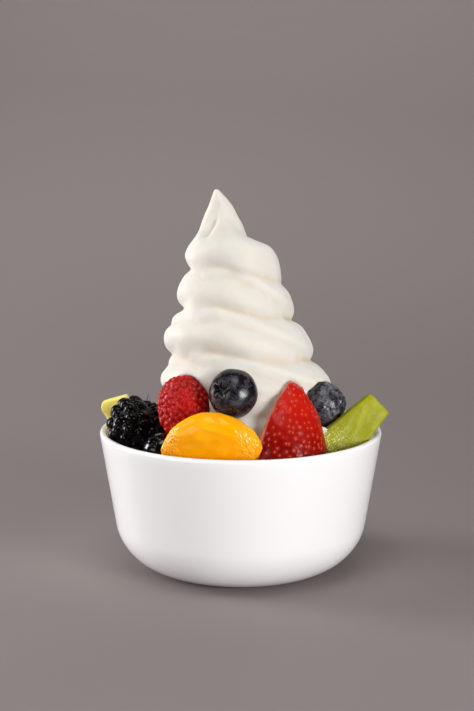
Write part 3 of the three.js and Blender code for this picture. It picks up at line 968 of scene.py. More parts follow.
@dataclass
class Swirl:
    """One rope of yogurt, laid in turns that climb to the left, and drawn up to a peak."""

    first_turn: float = -1.0
    last_turn: float = 5.0
    height: float = 51.0
    pitch: float = 15.05
    front_rise: float = 4.4
    front_twist: float = 2.6  # lift left of the front's middle, and drop right of it
    front_twist_top: float = 1.2
    twist_change: Pair = (2.8, 3.4)  # turns between which the one gives way to the other
    twist_angles: Pair = (0.4, 1.05)  # from the front, where it is full and where it has faded
    front_side: Pair = (0.0, 0.3)  # shares of the way to the front
    side_rise: float = 1.4
    path_radius: float = 28.0
    narrowing: float = 4.75
    unevenness: tuple[float, ...] = (0, -0.9, 0, -0.7, -0.5, 0.5, -0.8, -0.5, 0.6, 1.5)
    lean_from: float = 1.0
    lean_to: float = -3.2
    lean_start: float = 62.0
    lean_end: float = 100.0
    rope_radius: float = 9.4
    last_rope_radius: float = 8.2
    last_top_height: float = 0.86
    slims_over: Pair = (3.3, 4.0)  # turns between which the rope gets thinner
    flattens_over: Pair = (3.7, 4.1)
    ends_from: float = 4.45
    squareness: float = 1.2  # of the coil below the peak
    squares_over: tuple[float, ...] = (3.6, 3.85, 4.1, 4.3)
    sag: float = 0.9
    sag_angle: float = 40.0
    groove_depth: float = 1.35
    groove_width: Pair = (0.24, 0.45)  # above and below its middle, in radians
    lip_height: float = 0.4  # of the strand's round lower edge, above the groove
    lip_above: float = 0.5
    lip_width: float = 0.28
    plain_right: float = 0.6  # how much of the groove is lost at the right
    plain_left: float = 0.8  # and on the lifted lap
    right_side: Pair = (0.6, 1.0)  # shares of the way to the right
    left_side: Pair = (0.3, 0.95)
    # how high the groove runs round the rope, every 15 degrees of a lap from the right side
    groove: tuple[float, ...] = (
        -40, -33, -22, 0, 22, 37, 42, 34, 24, 38, 36, 28, 22, 24, 32, 44, 58, 74, 92, 110, 130,
        150, 170, 190, 210,
    )
    next_groove: tuple[float, ...] = (-100, -90, -76, -64, -54, -46, -40)  # of the last 90 degrees
    left_lift: float = 1.2  # of one lap, where it passes on the left
    lifted_turn: float = 3.5
    lifted_span: float = 0.3
    left_waist: float = 1.1  # how much flatter the coils are where they pass on the left
    crease_reach: float = 1.3
    closed_reach: float = 5.0
    closed_left: tuple[float, ...] = (106, 134, 138, 168)  # degrees of a lap from the right side
    closed_right: tuple[float, ...] = (40, 60, 80, 92)
    closed_right_top: Pair = (68, 72)
    ridges_end: Pair = (3.5, 3.8)
    lap_reach: float = 17.0  # how far above and below its path a lap counts
    peak_base: float = 108.0
    shoulder: float = 116.0
    tip: float = 140.0
    peak_radius: float = 11.7
    peak_waist: float = 0.7  # of that radius, at the base
    cone_slope: float = 0.87  # keeps the cone's field close to a distance
    core_margin: float = 1.5  # how far the solid middle reaches past the rope's path
    core_end: float = 4.0  # last turn with a core
    peak_turns: float = 1.3  # how much of the rope's end belongs to the peak
    sharpness: float = 0.75
    peak_x: float = -6.85
    hook: float = -2.15
    gathering: Pair = (5.0, 2.2)  # how far the last lap is drawn into the peak
    gathering_over: Pair = (2.0, 9.0)  # right of the peak

    def lean(self, level: Array) -> Array:
        """How far the swirl's axis stands to the right at a level."""
        return lerp(self.lean_from, self.lean_to, smoothstep(level, self.lean_start, self.lean_end))

    def closing(self, lap_share: Array, level: Array) -> Array:
        """How far the crease between two laps is closed.

        Args:
            lap_share: how far round the swirl, from its right side over the front to the left.
            level: height in the model.

        Returns:
            1 where it is closed most, at the left of the front and low behind the strawberry.
        """
        degrees = 360 * lap_share
        right = band(degrees, self.closed_right) * (1 - smoothstep(level, *self.closed_right_top))
        return band(degrees, self.closed_left) + right

    def rope_distance(self, x: Array, y: Array, z: Array, turn: Array) -> Array:
        """Signed distance from the rope where it passes at a turn.

        Args:
            x, y, z: where it is wanted, as arrays of one shape.
            turn: turn at which each point is measured.

        Returns:
            The distances, below 0 inside.
        """
        angle = -FULL_TURN * turn
        out_x, out_y = np.cos(angle), np.sin(angle)
        slimming = smoothstep(turn, *self.slims_over)
        ending = smoothstep(turn, self.ends_from, self.last_turn)
        radius = lerp(self.rope_radius, self.last_rope_radius, slimming) * (1 - 0.5 * ending)
        path = self.path_radius - self.narrowing * turn + uneven(self.unevenness, 2 * turn)
        path = path * (1 - ending)
        left = smoothstep(-out_x, *self.left_side)
        at_left = left * np.exp(-(((turn - self.lifted_turn) / self.lifted_span) ** 2))
        level = self.height + self.pitch * turn - slimming + self.left_lift * at_left
        from_front = np.arcsin(np.clip(out_x, -1, 1))
        full, faded = self.twist_angles
        twist = -np.tanh(from_front / full) * np.exp(-((from_front / faded) ** 2))
        higher = smoothstep(turn, *self.twist_change)
        twist *= lerp(self.front_twist, self.front_twist_top, higher)
        rise = self.side_rise * out_x - self.front_rise * out_y
        rise = (rise + twist * smoothstep(-out_y, *self.front_side)) * (1 - ending)
        centre_x = out_x * path + lerp(self.lean(level), self.peak_x, ending)
        across = (x - centre_x) * out_x + (y - out_y * path) * out_y
        up = z - level - rise
        flat = lerp(1.0, self.last_top_height, smoothstep(turn, *self.flattens_over))
        up = np.where(up > 0, up / flat, up)
        square = 2 + self.squareness * band(turn, self.squares_over)
        around = np.arctan2(up, across)
        # one groove runs round the rope, and parts it into two strands
        steps_round = len(self.groove) - 1
        step = steps_round * (turn % 1.0)
        relief = np.zeros_like(around)
        for path_up in (self.groove, self.next_groove):
            first = steps_round + 1 - len(path_up)
            above = around - np.radians(uneven(path_up, step - first))
            width = np.where(above > 0, *self.groove_width)
            notch = -self.groove_depth * np.exp(-((above / width) ** 2))
            lip = self.lip_height * np.exp(-(((above - self.lip_above) / self.lip_width) ** 2))
            relief = relief + (notch + lip) * (step > first - 1)
        sag = -self.sag * np.cos(2 * (around - np.radians(self.sag_angle)))
        relief = relief * (1 - self.plain_right * smoothstep(out_x, *self.right_side))
        relief = relief * (1 - self.plain_left * at_left)
        relief = relief * (1 - smoothstep(turn, *self.ridges_end))
        waist = self.left_waist * left * np.sin(around) ** 2
        away = (np.abs(across) ** square + np.abs(up) ** square) ** (1 / square)
        return away - (radius + sag + relief - waist)

    def peak_distance(self, x: Array, y: Array, z: Array) -> Array:
        """Signed distance from the peak.

        Args:
            x, y, z: where it is wanted, as arrays of one shape.

        Returns:
            The distances, below 0 inside.
        """
        below = np.clip(self.tip - z, 0, None)
        share = np.minimum(1, below / (self.tip - self.shoulder))
        gathered = smoothstep(z, self.peak_base, self.shoulder)
        radius = self.peak_radius * lerp(self.peak_waist, 1.0, gathered) * share**self.sharpness
        centre = lerp(self.lean(z), self.peak_x, gathered) + self.hook * (1 - share) ** 4
        side = (np.hypot(x - centre, y) - radius) * self.cone_slope
        return np.maximum(side, np.maximum(z - self.tip, self.peak_base - z))

    def core_distance(self, x: Array, y: Array, z: Array) -> Array:
        """Signed distance from the solid middle behind the creases.

        Args:
            x, y, z: where it is wanted, as arrays of one shape.

        Returns:
            The distances, below 0 inside.
        """
        turn = np.clip((z - self.height) / self.pitch, self.first_turn, self.core_end)
        path = self.path_radius - self.narrowing * turn + uneven(self.unevenness, 2 * turn)
        side = np.hypot(x - self.lean(z), y) - path - self.core_margin
        return np.maximum(side, z - self.height - self.core_end * self.pitch)

    def distance(self, x: Array, y: Array, z: Array) -> Array:
        """Signed distance from the whole swirl.

        Args:
            x, y, z: where it is wanted, as arrays of one shape.

        Returns:
            The distances, below 0 inside.
        """
        gathering = lerp(*self.gathering, smoothstep(x - self.peak_x, *self.gathering_over))
        nearest = self.core_distance(x, y, z)
        top = self.peak_distance(x, y, z)
        base = (-np.arctan2(y, x - self.lean(z)) / FULL_TURN) % 1.0
        for lap in range(int(self.first_turn), int(self.last_turn)):
            turn = base + lap
            close = np.abs(z - self.height - self.pitch * turn) < self.lap_reach
            close &= (turn >= self.first_turn) & (turn <= self.last_turn)
            rope = self.rope_distance(x[close], y[close], z[close], turn[close])
            last = turn[close] > self.last_turn - self.peak_turns
            low = np.where(last, np.inf, rope)
            reach = self.crease_reach + self.closed_reach * self.closing(base[close], z[close])
            nearest[close] = np.where(last, nearest[close], soft_min(nearest[close], low, reach))
            high = soft_min(top[close], rope, gathering[close])
            top[close] = np.where(last, high, top[close])
        return soft_min(nearest, top, self.crease_reach + self.closed_reach * self.closing(base, z))


@dataclass(frozen=True)
class Fold:
    """Soft crease pressed into the yogurt along a line of points."""

    line: tuple[Triple, ...]
    depth: float
    width: float
    end_fade: float = 0.15  # share of its length over which it fades at each end
    end_depth: float = 0.15  # share of its depth that is left there

    def dent(self, points: Array) -> Array:
        """How deep the crease is at some points.

        Args:
            points: where it is wanted, one row a point.

        Returns:
            One depth a point.
        """
        line = np.array(self.line)
        steps = len(line) - 1
        best = np.full(len(points), np.inf)
        along = np.zeros(len(points))
        for number in range(steps):
            start, leg = line[number], line[number + 1] - line[number]
            share = np.clip((points - start) @ leg / leg.dot(leg), 0, 1)
            away = np.linalg.norm(points - start - share[:, None] * leg, axis=1)
            nearer = away < best
            best = np.where(nearer, away, best)
            along = np.where(nearer, (number + share) / steps, along)
        fade = smoothstep(along, 0, self.end_fade) * smoothstep(1 - along, 0, self.end_fade)
        deep = self.depth * np.exp(-((best / self.width) ** 2))
        return deep * (self.end_depth + (1 - self.end_depth) * fade)


PEAK_FOLD = (
    (-8.4, -2.4, 135.9), (-8.3, -3.6, 133.0), (-8.8, -5.3, 129.6), (-10.3, -7.8, 125.6),
    (-12.7, -9.8, 122.9),
)
LOBE_FOLD = (
    (-10.3, -7.8, 125.6), (-12.7, -9.8, 122.9), (-14.3, -11.7, 120.1), (-15.2, -11.9, 115.9),
    (-14.8, -11.3, 110.5), (-13.9, -15.0, 108.6),
)
PEAK_HOLLOW = tuple((x - 1.9, y + 0.9, z - 0.4) for x, y, z in PEAK_FOLD[1:])
REAR_FOLD = (
    (-6.5, 3.0, 134.0), (-5.6, 5.4, 129.0), (-3.6, 8.2, 124.0), (0.5, 9.8, 120.5),
    (4.0, 9.5, 117.0),
)


@dataclass
class Yogurt:
    """Yogurt that fills the bowl, rises in the swirl and holds the fruit in its pockets."""

    bowl: Bowl
    pockets: dict[str, Triple]
    swirl: Swirl = field(default_factory=Swirl)
    level: float = 45.6
    crown: float = 50.0
    floor_gap: float = 0.45
    half_grid: float = 49.6  # of the field that the yogurt is skinned from
    grid_low: float = 1.5
    fine_from: float = 42.5  # the hidden fill below is made with longer steps
    grid_top: float = 141.6
    step: float = 0.64
    low_step: float = 2.2
    fill_blend: float = 2.0  # how softly the swirl meets the fill
    softening: float = 0.5
    clearance: float = 0.12
    pocket_reach: float = 8.0
    pocket_margin: float = 3.0
    pocket_rim: float = 1.2  # how far its edge is rounded
    wall_gap: float = 0.1
    fill_wave: Pair = (0.5, 13.0)  # height and length
    waves: tuple[Pair, Pair] = ((0.22, 9.0), (0.07, 3.2))  # the same, all over what shows
    waves_from: Pair = (44, 50)
    swirl_from: float = 40.0
    softened_from: float = 43.0
    folds_from: float = 100.0
    folds: tuple[Fold, ...] = (
        Fold(PEAK_FOLD, 0.95, 1.1), Fold(PEAK_HOLLOW, 0.8, 2.4), Fold(LOBE_FOLD, 0.15, 1.8),
        Fold(REAR_FOLD, 0.8, 1.3),
    )
    finish: SoftYogurt = field(default_factory=SoftYogurt)

    def fill_distance(self, x: Array, y: Array, z: Array) -> Array:
        """Signed distance from the yogurt inside the bowl.

        Args:
            x, y, z: where it is wanted, as arrays of one shape.

        Returns:
            The distances, below 0 inside.
        """
        radius = np.hypot(x, y)
        wall = self.bowl.inner_radius(z)
        low = np.clip((self.bowl.corner_top - z) / (self.bowl.corner_top - self.bowl.floor), 0, 1)
        wall = wall - (wall - self.bowl.inner_foot_radius) * (1 - np.sqrt(1 - low**2))
        out = np.minimum(radius / self.bowl.inner_radius(self.level), 1)
        top = lerp(self.crown, self.level, out)
        spots = np.stack([x, y, np.zeros_like(x)], axis=-1).reshape(-1, 3)
        wave, wave_length = self.fill_wave
        top = top + wave * ripple(spots, wave_length, 5, 8).reshape(x.shape)
        low_side = self.bowl.floor + self.floor_gap - z
        return np.maximum(np.maximum(radius - wall + self.wall_gap, z - top), low_side)

    def hull_planes(self, node: str) -> tuple[Array, Array, Array]:
        """Planes round a fruit and its way out of the yogurt.

        Args:
            node: the fruit's CAD node.

        Returns:
            Outward directions, distances from the origin, and the corners.
        """
        corners = np.array([vertex.co[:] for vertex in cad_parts[node].data.vertices]) / MM
        way_out = np.array(self.pockets[node]) * self.pocket_reach
        shell = bmesh.new()
        for corner in np.concatenate([corners, corners + way_out]):
            shell.verts.new(corner)
        bmesh.ops.convex_hull(shell, input=shell.verts, use_existing_faces=False)
        shell.normal_update()
        middle = Vector((corners + way_out / 2).mean(axis=0))
        planes = {}
        for face in shell.faces:
            normal = face.normal
            offset = normal.dot(face.verts[0].co)
            if normal.dot(middle) > offset:
                normal, offset = -normal, -offset
            planes[tuple(round(value, 3) for value in (*normal, offset))] = (normal[:], offset)
        shell.free()
        directions = np.array([direction for direction, _ in planes.values()])
        offsets = np.array([offset for _, offset in planes.values()])
        return directions, offsets, np.concatenate([corners, corners + way_out])

    def press_in(self, values: Array, axes: tuple[Array, Array, Array], node: str) -> None:
        """Cuts a fruit's pocket into the field, with a soft rim.

        Args:
            values: the yogurt's field, which is changed.
            axes: the field's coordinates along X, Y and Z.
            node: the fruit's CAD node.
        """
        directions, offsets, corners = self.hull_planes(node)
        ranges = []
        for at, axis in enumerate(axes):
            low = corners[:, at].min() - self.pocket_margin
            high = corners[:, at].max() + self.pocket_margin
            ranges.append(slice(*np.searchsorted(axis, (low, high))))
        x, y, z = np.meshgrid(*(axis[span] for axis, span in zip(axes, ranges)), indexing="ij")
        pocket = np.full(x.shape, -np.inf)
        for (a, b, c), offset in zip(directions, offsets):
            np.maximum(pocket, a * x + b * y + c * z - offset, out=pocket)
        part = values[tuple(ranges)]
        values[tuple(ranges)] = -soft_min(-part, pocket - self.clearance, self.pocket_rim)

    def build(self) -> None:
        """Fills the grid, skins it and softens the skin."""
        side = np.arange(-self.half_grid, self.half_grid + 0.1, self.step)
        low = np.arange(self.grid_low, self.fine_from - 0.5, self.low_step)
        high = np.arange(self.fine_from, self.grid_top, self.step)
        axes = (side, side, np.concatenate([low, high]))
        values = np.empty([len(axis) for axis in axes], np.float32)
        for number, level in enumerate(axes[2]):
            x, y = np.meshgrid(side, side, indexing="ij")
            z = np.full_like(x, level)
            swirl = self.swirl.distance(x, y, z)
            fill = self.fill_distance(x, y, z)
            whole = soft_min(swirl, fill, self.fill_blend)
            values[:, :, number] = whole if level > self.swirl_from else fill
        for node in self.pockets:
            self.press_in(values, axes, node)
        points, faces = surface_net(values, axes)
        edges = edges_of(faces)
        waves = [
            height * ripple(points, length, seed)
            for seed, (height, length) in enumerate(self.waves, 11)
        ]
        relief = sum(waves) * smoothstep(points[:, 2], *self.waves_from)
        near = points[:, 2] > self.folds_from
        for fold in self.folds:
            relief[near] -= fold.dent(points[near])
        points = points + normals_of(points, faces) * relief[:, None]
        softened = lerp(points, neighbour_mean(points, edges), self.softening)
        points = np.where(points[:, 2:] > self.softened_from, softened, points)
        points[:, 2] = np.minimum(points[:, 2], self.swirl.tip - 0.05)
        add_piece(
            "frozen_yogurt", (points, faces), self.finish.material(), "yogurt",
            {"cavity": cavity_of(points, faces, 6)},
        )


# --- the fruit ---


@dataclass
class DrupeletBerry:
    """Bramble or raspberry: shiny beads packed over a core, each rounder than its bed."""

    name: str
    place: Place
    slot: Slot
    finish: BerrySkin
    drupelets: int
    radius: float
    half_height: float
    taper: float
    swell: float
    bead: float  # radius of a drupelet
    seed: int
    disorder: float = 0.28  # how far the drupelets are off an even spread
    bead_spread: Pair = (0.88, 1.12)
    bed_depth: float = 0.25  # of the core's own surface, under the beads
    slump: float = 0.0  # how much its top has sunk on the right
    slump_across: tuple[float, ...] = (-3, 4, 5, 8)  # right of its middle
    slump_up: Pair = (1, 9)
    slump_fade: float = 0.8  # how much less it has sunk at its far right
    fullness: float = 2.0  # 2 is an ellipsoid, more has squarer shoulders

    def seeds(self) -> Array:
        """Directions of the drupelets, spread evenly along a spiral from the tip down.

        Returns:
            One direction a drupelet, of length 1.
        """
        index = np.arange(self.drupelets)
        height = 1 - (2 * index + 1) / self.drupelets
        angle = GOLDEN_ANGLE * index
        flat = np.sqrt(1 - height**2)
        return np.stack([flat * np.cos(angle), flat * np.sin(angle), height], axis=1)

    def body(self, directions: Array, rise: Array) -> Array:
        """Points of the berry's own shape in some directions, lifted by a rise.

        Args:
            directions: directions from the middle, of length 1.
            rise: how far each point is lifted.

        Returns:
            The points.
        """
        width = self.radius * (1 - self.taper * np.maximum(0, directions[:, 2] + 0.3)) + rise
        shape = np.stack([width, width, self.half_height + rise + 0 * width], axis=1)
        flat = np.hypot(directions[:, :1], directions[:, 1:2]) ** self.fullness
        full = (flat + np.abs(directions[:, 2:]) ** self.fullness) ** (-1 / self.fullness)
        return directions * shape * full

    def surface(self) -> Surface:
        """Skin whose every point is on the outermost bead in its direction.

        Returns:
            Points and faces, about the berry's middle.
        """
        draw = np.random.default_rng(self.seed)
        seeds = self.seeds()
        seeds = unit(seeds + draw.normal(scale=self.disorder / self.radius, size=seeds.shape))
        beads = self.bead * draw.uniform(*self.bead_spread, len(seeds))
        centres = self.body(seeds, self.swell - beads)
        directions, faces = icosphere(7)
        bed = self.body(directions, np.full(len(directions), -self.bed_depth))
        reach = np.linalg.norm(bed, axis=1)
        for centre, bead in zip(centres, beads):
            along = directions @ centre
            inside = along**2 - centre @ centre + bead**2
            hit = np.where(inside > 0, along + np.sqrt(np.maximum(inside, 0)), 0)
            reach = np.maximum(reach, np.where(along > 0, hit, 0))
        return directions * reach[:, None], [faces]

    def build(self) -> None:
        """Makes the berry."""
        points, faces = self.surface()
        points = self.place.put(points)
        middle = np.array(self.place.point)
        right, high = points[:, 0] - middle[0], points[:, 2] - middle[2]
        far_right = smoothstep(right, *self.slump_across[2:])
        sunk = smoothstep(right, *self.slump_across[:2]) * (1 - self.slump_fade * far_right)
        points[:, 2] -= self.slump * sunk * smoothstep(high, *self.slump_up)
        add_piece(
            self.name + "_drupelets", (points, faces), self.finish.material(),
            self.name, {"cavity": cavity_of(points, faces, 4)},
        )


@dataclass
class DriedHairs:
    """Thin dried hairs that stand out between a berry's drupelets."""

    berry: DrupeletBerry
    finish: DrySeed
    towards: Triple
    count: int = 34
    length: float = 1.9
    radius: float = 0.17
    disorder: float = 0.3  # how far they turn off the common direction
    curl: float = 0.9
    length_spread: Pair = (0.6, 1.2)
    root_depth: float = 0.4
    seed: int = 9

    def hair(self, root: Array, outward: Array, bend: Array, length: float) -> Surface:
        """One tapered hair from a root, as a closed skin.

        Args:
            root: where it starts.
            outward: the direction in which it leaves the berry.
            bend: which way and how far it curls.
            length: its length.

        Returns:
            Points and faces.
        """
        share = np.linspace(0, 1, 8)[:, None]
        line = root + outward * length * share + bend * length * share**2
        across = unit(np.cross(outward, bend))
        other = unit(np.cross(outward, across))
        angle = np.linspace(0, FULL_TURN, 7)[:-1, None]
        ring = across * np.cos(angle) + other * np.sin(angle)
        rings = line[:, None] + ring[None] * (self.radius * (1.1 - share))[:, None]
        return loft(rings, line[0], line[-1])

    def build(self) -> None:
        """Makes all the hairs, as one mesh."""
        draw = np.random.default_rng(self.seed)
        middle = np.array(self.berry.place.point)
        hairs = []
        for _ in range(self.count):
            outward = unit(unit(np.array(self.towards)) + draw.normal(scale=self.disorder, size=3))
            bend = unit(draw.normal(size=3)) * self.curl
            length = self.length * draw.uniform(*self.length_spread)
            root = middle + outward * (self.berry.radius - self.root_depth)
            hairs.append(self.hair(root, outward, bend, length))
        name = self.berry.name + "_hairs"
        add_piece(name, joined(hairs), self.finish.material())


@dataclass
class Blueberry:
    """Blueberry, a little flat, with a five-lobed crown round a crater on its own +Z."""

    name: str
    radius: float
    place: Place
    finish: WaxyBlueberry
    flatness: float = 0.93
    wrinkles: float = 0.0
    rim_height: float = 0.05  # of the crown's edge, as a share of the radius
    rim_width: float = 0.06  # in radians
    crater_depth: float = 0.17  # as a share of the radius
    seed: int = 3

    def build(self) -> None:
        """Makes the berry."""
        polar = np.concatenate([np.linspace(178, 36, 64), np.linspace(34, 1.5, 44)])
        turn = np.linspace(0, FULL_TURN, 100, endpoint=False)
        polar, turn = np.meshgrid(np.radians(polar), turn, indexing="ij")
        # five lobes, a little oval, with a finely torn edge
        lobes = 16.5 + 4.2 * np.cos(5 * turn) + 1.6 * np.cos(2 * turn + 1) + np.cos(11 * turn)
        lobes = np.radians(lobes)
        rim = self.rim_height * np.exp(-(((polar - lobes) / self.rim_width) ** 2))
        crater = self.crater_depth * smoothstep(lobes - polar, 0.02, 0.2)
        reach = self.radius * (1 + rim - crater)
        directions = np.stack(
            [np.sin(polar) * np.cos(turn), np.sin(polar) * np.sin(turn), np.cos(polar)], axis=-1
        )
        rings = directions * reach[..., None] * (1, 1, self.flatness)
        flat = rings.reshape(-1, 3)
        relief = 0.12 * ripple(flat, 6.0, self.seed)
        relief -= self.wrinkles * np.abs(ripple(flat, 2.6, self.seed + 1))
        rings = (flat + unit(flat) * relief[:, None]).reshape(rings.shape)
        low, high = rings[0].mean(axis=0), rings[-1].mean(axis=0)
        points, faces = loft(rings, low, high)
        add_piece(
            self.name + "_skin", (self.place.put(points), faces), self.finish.material(),
            self.name, {"cavity": cavity_of(points, faces, 3)},
        )


@dataclass
class Mandarin:
    """Mandarin segment, lying along its own X on its thin inner edge."""

    name: str
    scale: float
    place: Place
    finish: MandarinPulp
    length: float = 35.8
    depth: float = 20.5
    thickness: float = 13.5
    end_levels: Pair = (5.5, 8.5)  # at its own -X and +X
    ridge_level: float = 16.7  # of the soft ridge on the front, at its own X of -2
    ridge_fall: float = 0.26
    ridge_height: float = 0.35
    ridge_width: float = 0.9
    ridge_along: tuple[float, ...] = (-4, 0, 6, 10)
    wedge: Pair = (0.42, 1.08)  # share of its thickness at the inner and the outer edge
    end_shape: Pair = (2.2, 0.6)  # powers that make its ends blunt
    skin_inset: float = 0.15

    def build(self) -> None:
        """Makes the segment."""
        share = np.sin(np.linspace(-0.985, 0.985, 260) * math.pi / 2)[:, None]
        angle = np.linspace(0, FULL_TURN, 200, endpoint=False)[None]
        fullness = (1 - np.abs(share) ** self.end_shape[0]) ** self.end_shape[1]
        levels = np.where(share < 0, *self.end_levels)
        centre = lerp(self.depth / 2, levels, share**2)
        wedge = lerp(*self.wedge, (1 + np.sin(angle)) / 2)
        rings = np.stack(
            [
                share * self.length / 2 + 0 * angle,
                self.thickness / 2 * fullness * wedge * np.cos(angle),
                centre + self.depth / 2 * fullness * np.sin(angle),
            ],
            axis=-1,
        )
        ends = [
            np.array([side * self.length / 2, 0, level])
            for side, level in zip((-1, 1), self.end_levels)
        ]
        points, faces = loft(rings, *ends)
        normals = normals_of(points, faces)
        # long juice sacs and a slow waver, then torn sacs near the ends
        relief = 0.1 * ripple(points * (0.5, 1, 1), 2.4, 21) + 0.2 * ripple(points, 7.0, 22)
        to_end = smoothstep(np.abs(points[:, 0]) * 2 / self.length, 0.4, 0.8)
        relief += 0.16 * to_end * (1 - 2 * np.abs(ripple(points, 1.7, 23, 24)))
        off_ridge = points[:, 2] - self.ridge_level + self.ridge_fall * (points[:, 0] + 2)
        ridge = band(points[:, 0], self.ridge_along)
        bulge = np.exp(-((off_ridge / self.ridge_width) ** 2)) * (points[:, 1] < 0)
        relief += self.ridge_height * ridge * bulge
        points = (points + normals * (relief - self.skin_inset)[:, None]) * self.scale
        add_piece(
            self.name + "_segment", (self.place.put(points), faces), self.finish.material(),
            self.name, {"to_end": to_end},
        )


@dataclass
class Strawberry:
    """Half a strawberry: round on its own +X, cut flat on -X, with its tip on +Z."""

    name: str
    scale: float
    place: Place
    finish: StrawberrySkin
    seed_finish: DrySeed
    length: float = 34.0
    radius: float = 16.3
    widest: float = 27.0
    end_radius: float = 11.5
    tip_shape: float = 0.72  # power of the round side towards the tip
    tip_blunting: float = 1.0
    blunt_over: float = 1.2  # from the tip
    swelling: float = 0.14  # how much the round side fills out towards the stalk end
    cut_edge: float = 1.3
    seed_spacing: float = 2.65
    first_seeds: float = 2.2  # from the tip
    seed_size: Triple = (0.3, 0.24, 0.48)  # half its width, thickness and length
    seed_sunk: float = 0.35
    pit_depth: float = 0.26
    pit_radius: float = 0.6
    seed_margin: float = 0.12  # angle at the cut without seeds
    row_spacing: float = 0.78  # as a share of the spacing in a row
    skin_inset: float = 0.15
    draw_seed: int = 31

    def radius_at(self, from_tip: Array) -> Array:
        """Radius of the round side at a distance from the tip.

        Args:
            from_tip: distances from the tip.

        Returns:
            The radii there.
        """
        rising = self.radius * np.sin(math.pi / 2 * (from_tip / self.widest) ** self.tip_shape)
        blunt = self.tip_blunting * from_tip * np.exp(1 - from_tip / self.blunt_over)
        rising = rising + blunt / self.blunt_over
        over = np.clip((from_tip - self.widest) / (self.length - self.widest), 0, 1)
        falling = lerp(self.end_radius, self.radius, np.sqrt(1 - over**2))
        return np.where(from_tip < self.widest, rising, falling)

    def fullness(self, from_tip: Array) -> Array:
        """How much deeper than round the half is at a distance from the tip."""
        return 1 + self.swelling * np.minimum(from_tip / self.widest, 1)

    def seed_places(self) -> Array:
        """Angle and distance from the tip of each seed, in staggered rows.

        Returns:
            One row a seed.
        """
        draw = np.random.default_rng(self.draw_seed + 1)
        spots: list[Pair] = []
        row, level = 0, self.first_seeds
        while level < self.length - 3:
            width = float(self.radius_at(np.array(level)))
            count = max(2, round(math.pi * width / self.seed_spacing))
            for number in range(count):
                share = (number + 0.25 + 0.5 * (row % 2)) / count
                angle = lerp(-math.pi / 2 + self.seed_margin, math.pi / 2 - self.seed_margin, share)
                shift = draw.normal(size=2) * (0.5 / (width + 1), 0.4)
                spots.append((angle + shift[0], level + shift[1]))
            level += self.row_spacing * self.seed_spacing
            row += 1
        return np.array(spots)

    def build(self) -> None:
        """Makes the half, and its seeds in their pits."""
        tip_levels = 0.2 * (np.arange(1, 8) / 7) ** 2
        levels = np.concatenate([tip_levels, np.linspace(0.35, self.length, 120)])[::-1]
        rings = []
        for level in levels:
            ring_radius = float(self.radius_at(np.array(level)))
            edge = min(self.cut_edge, ring_radius / 3)
            first = math.asin(edge / ring_radius) - math.pi / 2
            angle = np.linspace(first, -first, 100)
            arc = ring_radius * np.stack([np.cos(angle), np.sin(angle)], axis=1)
            side = np.linspace(1, -1, 28)
            cut = np.stack([0 * side, side * (ring_radius - edge)], axis=1)
            flat = np.concatenate([arc, cut])
            flat[:, 0] *= self.fullness(level)
            rings.append(np.concatenate([flat, np.full((len(flat), 1), -level)], axis=1))
        end = np.array([0.4 * self.end_radius, 0, 1 - self.length])
        points, faces = loft(np.array(rings), end, np.array([0.1, 0, 0]))
        normals = normals_of(points, faces)
        # the pale cut shows round its edge in a strip that is narrow at the tip
        cut_strip = 0.9 - 2.0 * points[:, 2] / self.length
        round_side = smoothstep(points[:, 0] / cut_strip, 0.6, 1.1)
        spots = self.seed_places()
        radii = self.radius_at(spots[:, 1])
        seeds = np.stack(
            [
                radii * np.cos(spots[:, 0]) * self.fullness(spots[:, 1]),
                radii * np.sin(spots[:, 0]), -spots[:, 1],
            ],
            axis=1,
        )
        pit = np.zeros(len(points))
        draw = np.random.default_rng(self.draw_seed + 2)
        for seed, ripeness in zip(seeds, draw.uniform(0.3, 1.0, len(seeds))):
            away = np.linalg.norm(points - seed, axis=1)
            pit = np.maximum(pit, ripeness * np.exp(-((away / self.pit_radius) ** 2)))
        pit *= round_side
        relief = 0.25 * ripple(points, 8.0, self.draw_seed) - self.pit_depth * pit
        shaped = points + normals * (relief - self.skin_inset)[:, None]
        add_piece(
            self.name + "_half", (self.place.put(shaped * self.scale), faces),
            self.finish.material(), self.name,
            {"from_tip": -points[:, 2] / self.length, "pit": pit, "cut": 1 - round_side},
        )
        self.build_seeds(seeds, spots)

    def build_seeds(self, seeds: Array, spots: Array) -> None:
        """Sets a drop-shaped seed in every pit, as one mesh.

        Args:
            seeds: middle of each pit.
            spots: each pit's angle and distance from the tip.
        """
        ball, triangles = icosphere(2)
        drop = ball * self.seed_size
        skins = []
        for seed, (angle, _) in zip(seeds, spots):
            outward = np.array([math.cos(angle), math.sin(angle), 0.25])
            stand = Place(tuple(seed - unit(outward) * self.seed_sunk), (0, 0, 1), tuple(outward))
            skins.append((stand.put(drop[:, [1, 0, 2]]), [triangles]))
        points, faces = joined(skins)
        add_piece(
            self.name + "_seeds", (self.place.put(points * self.scale), faces),
            self.seed_finish.material(),
        )


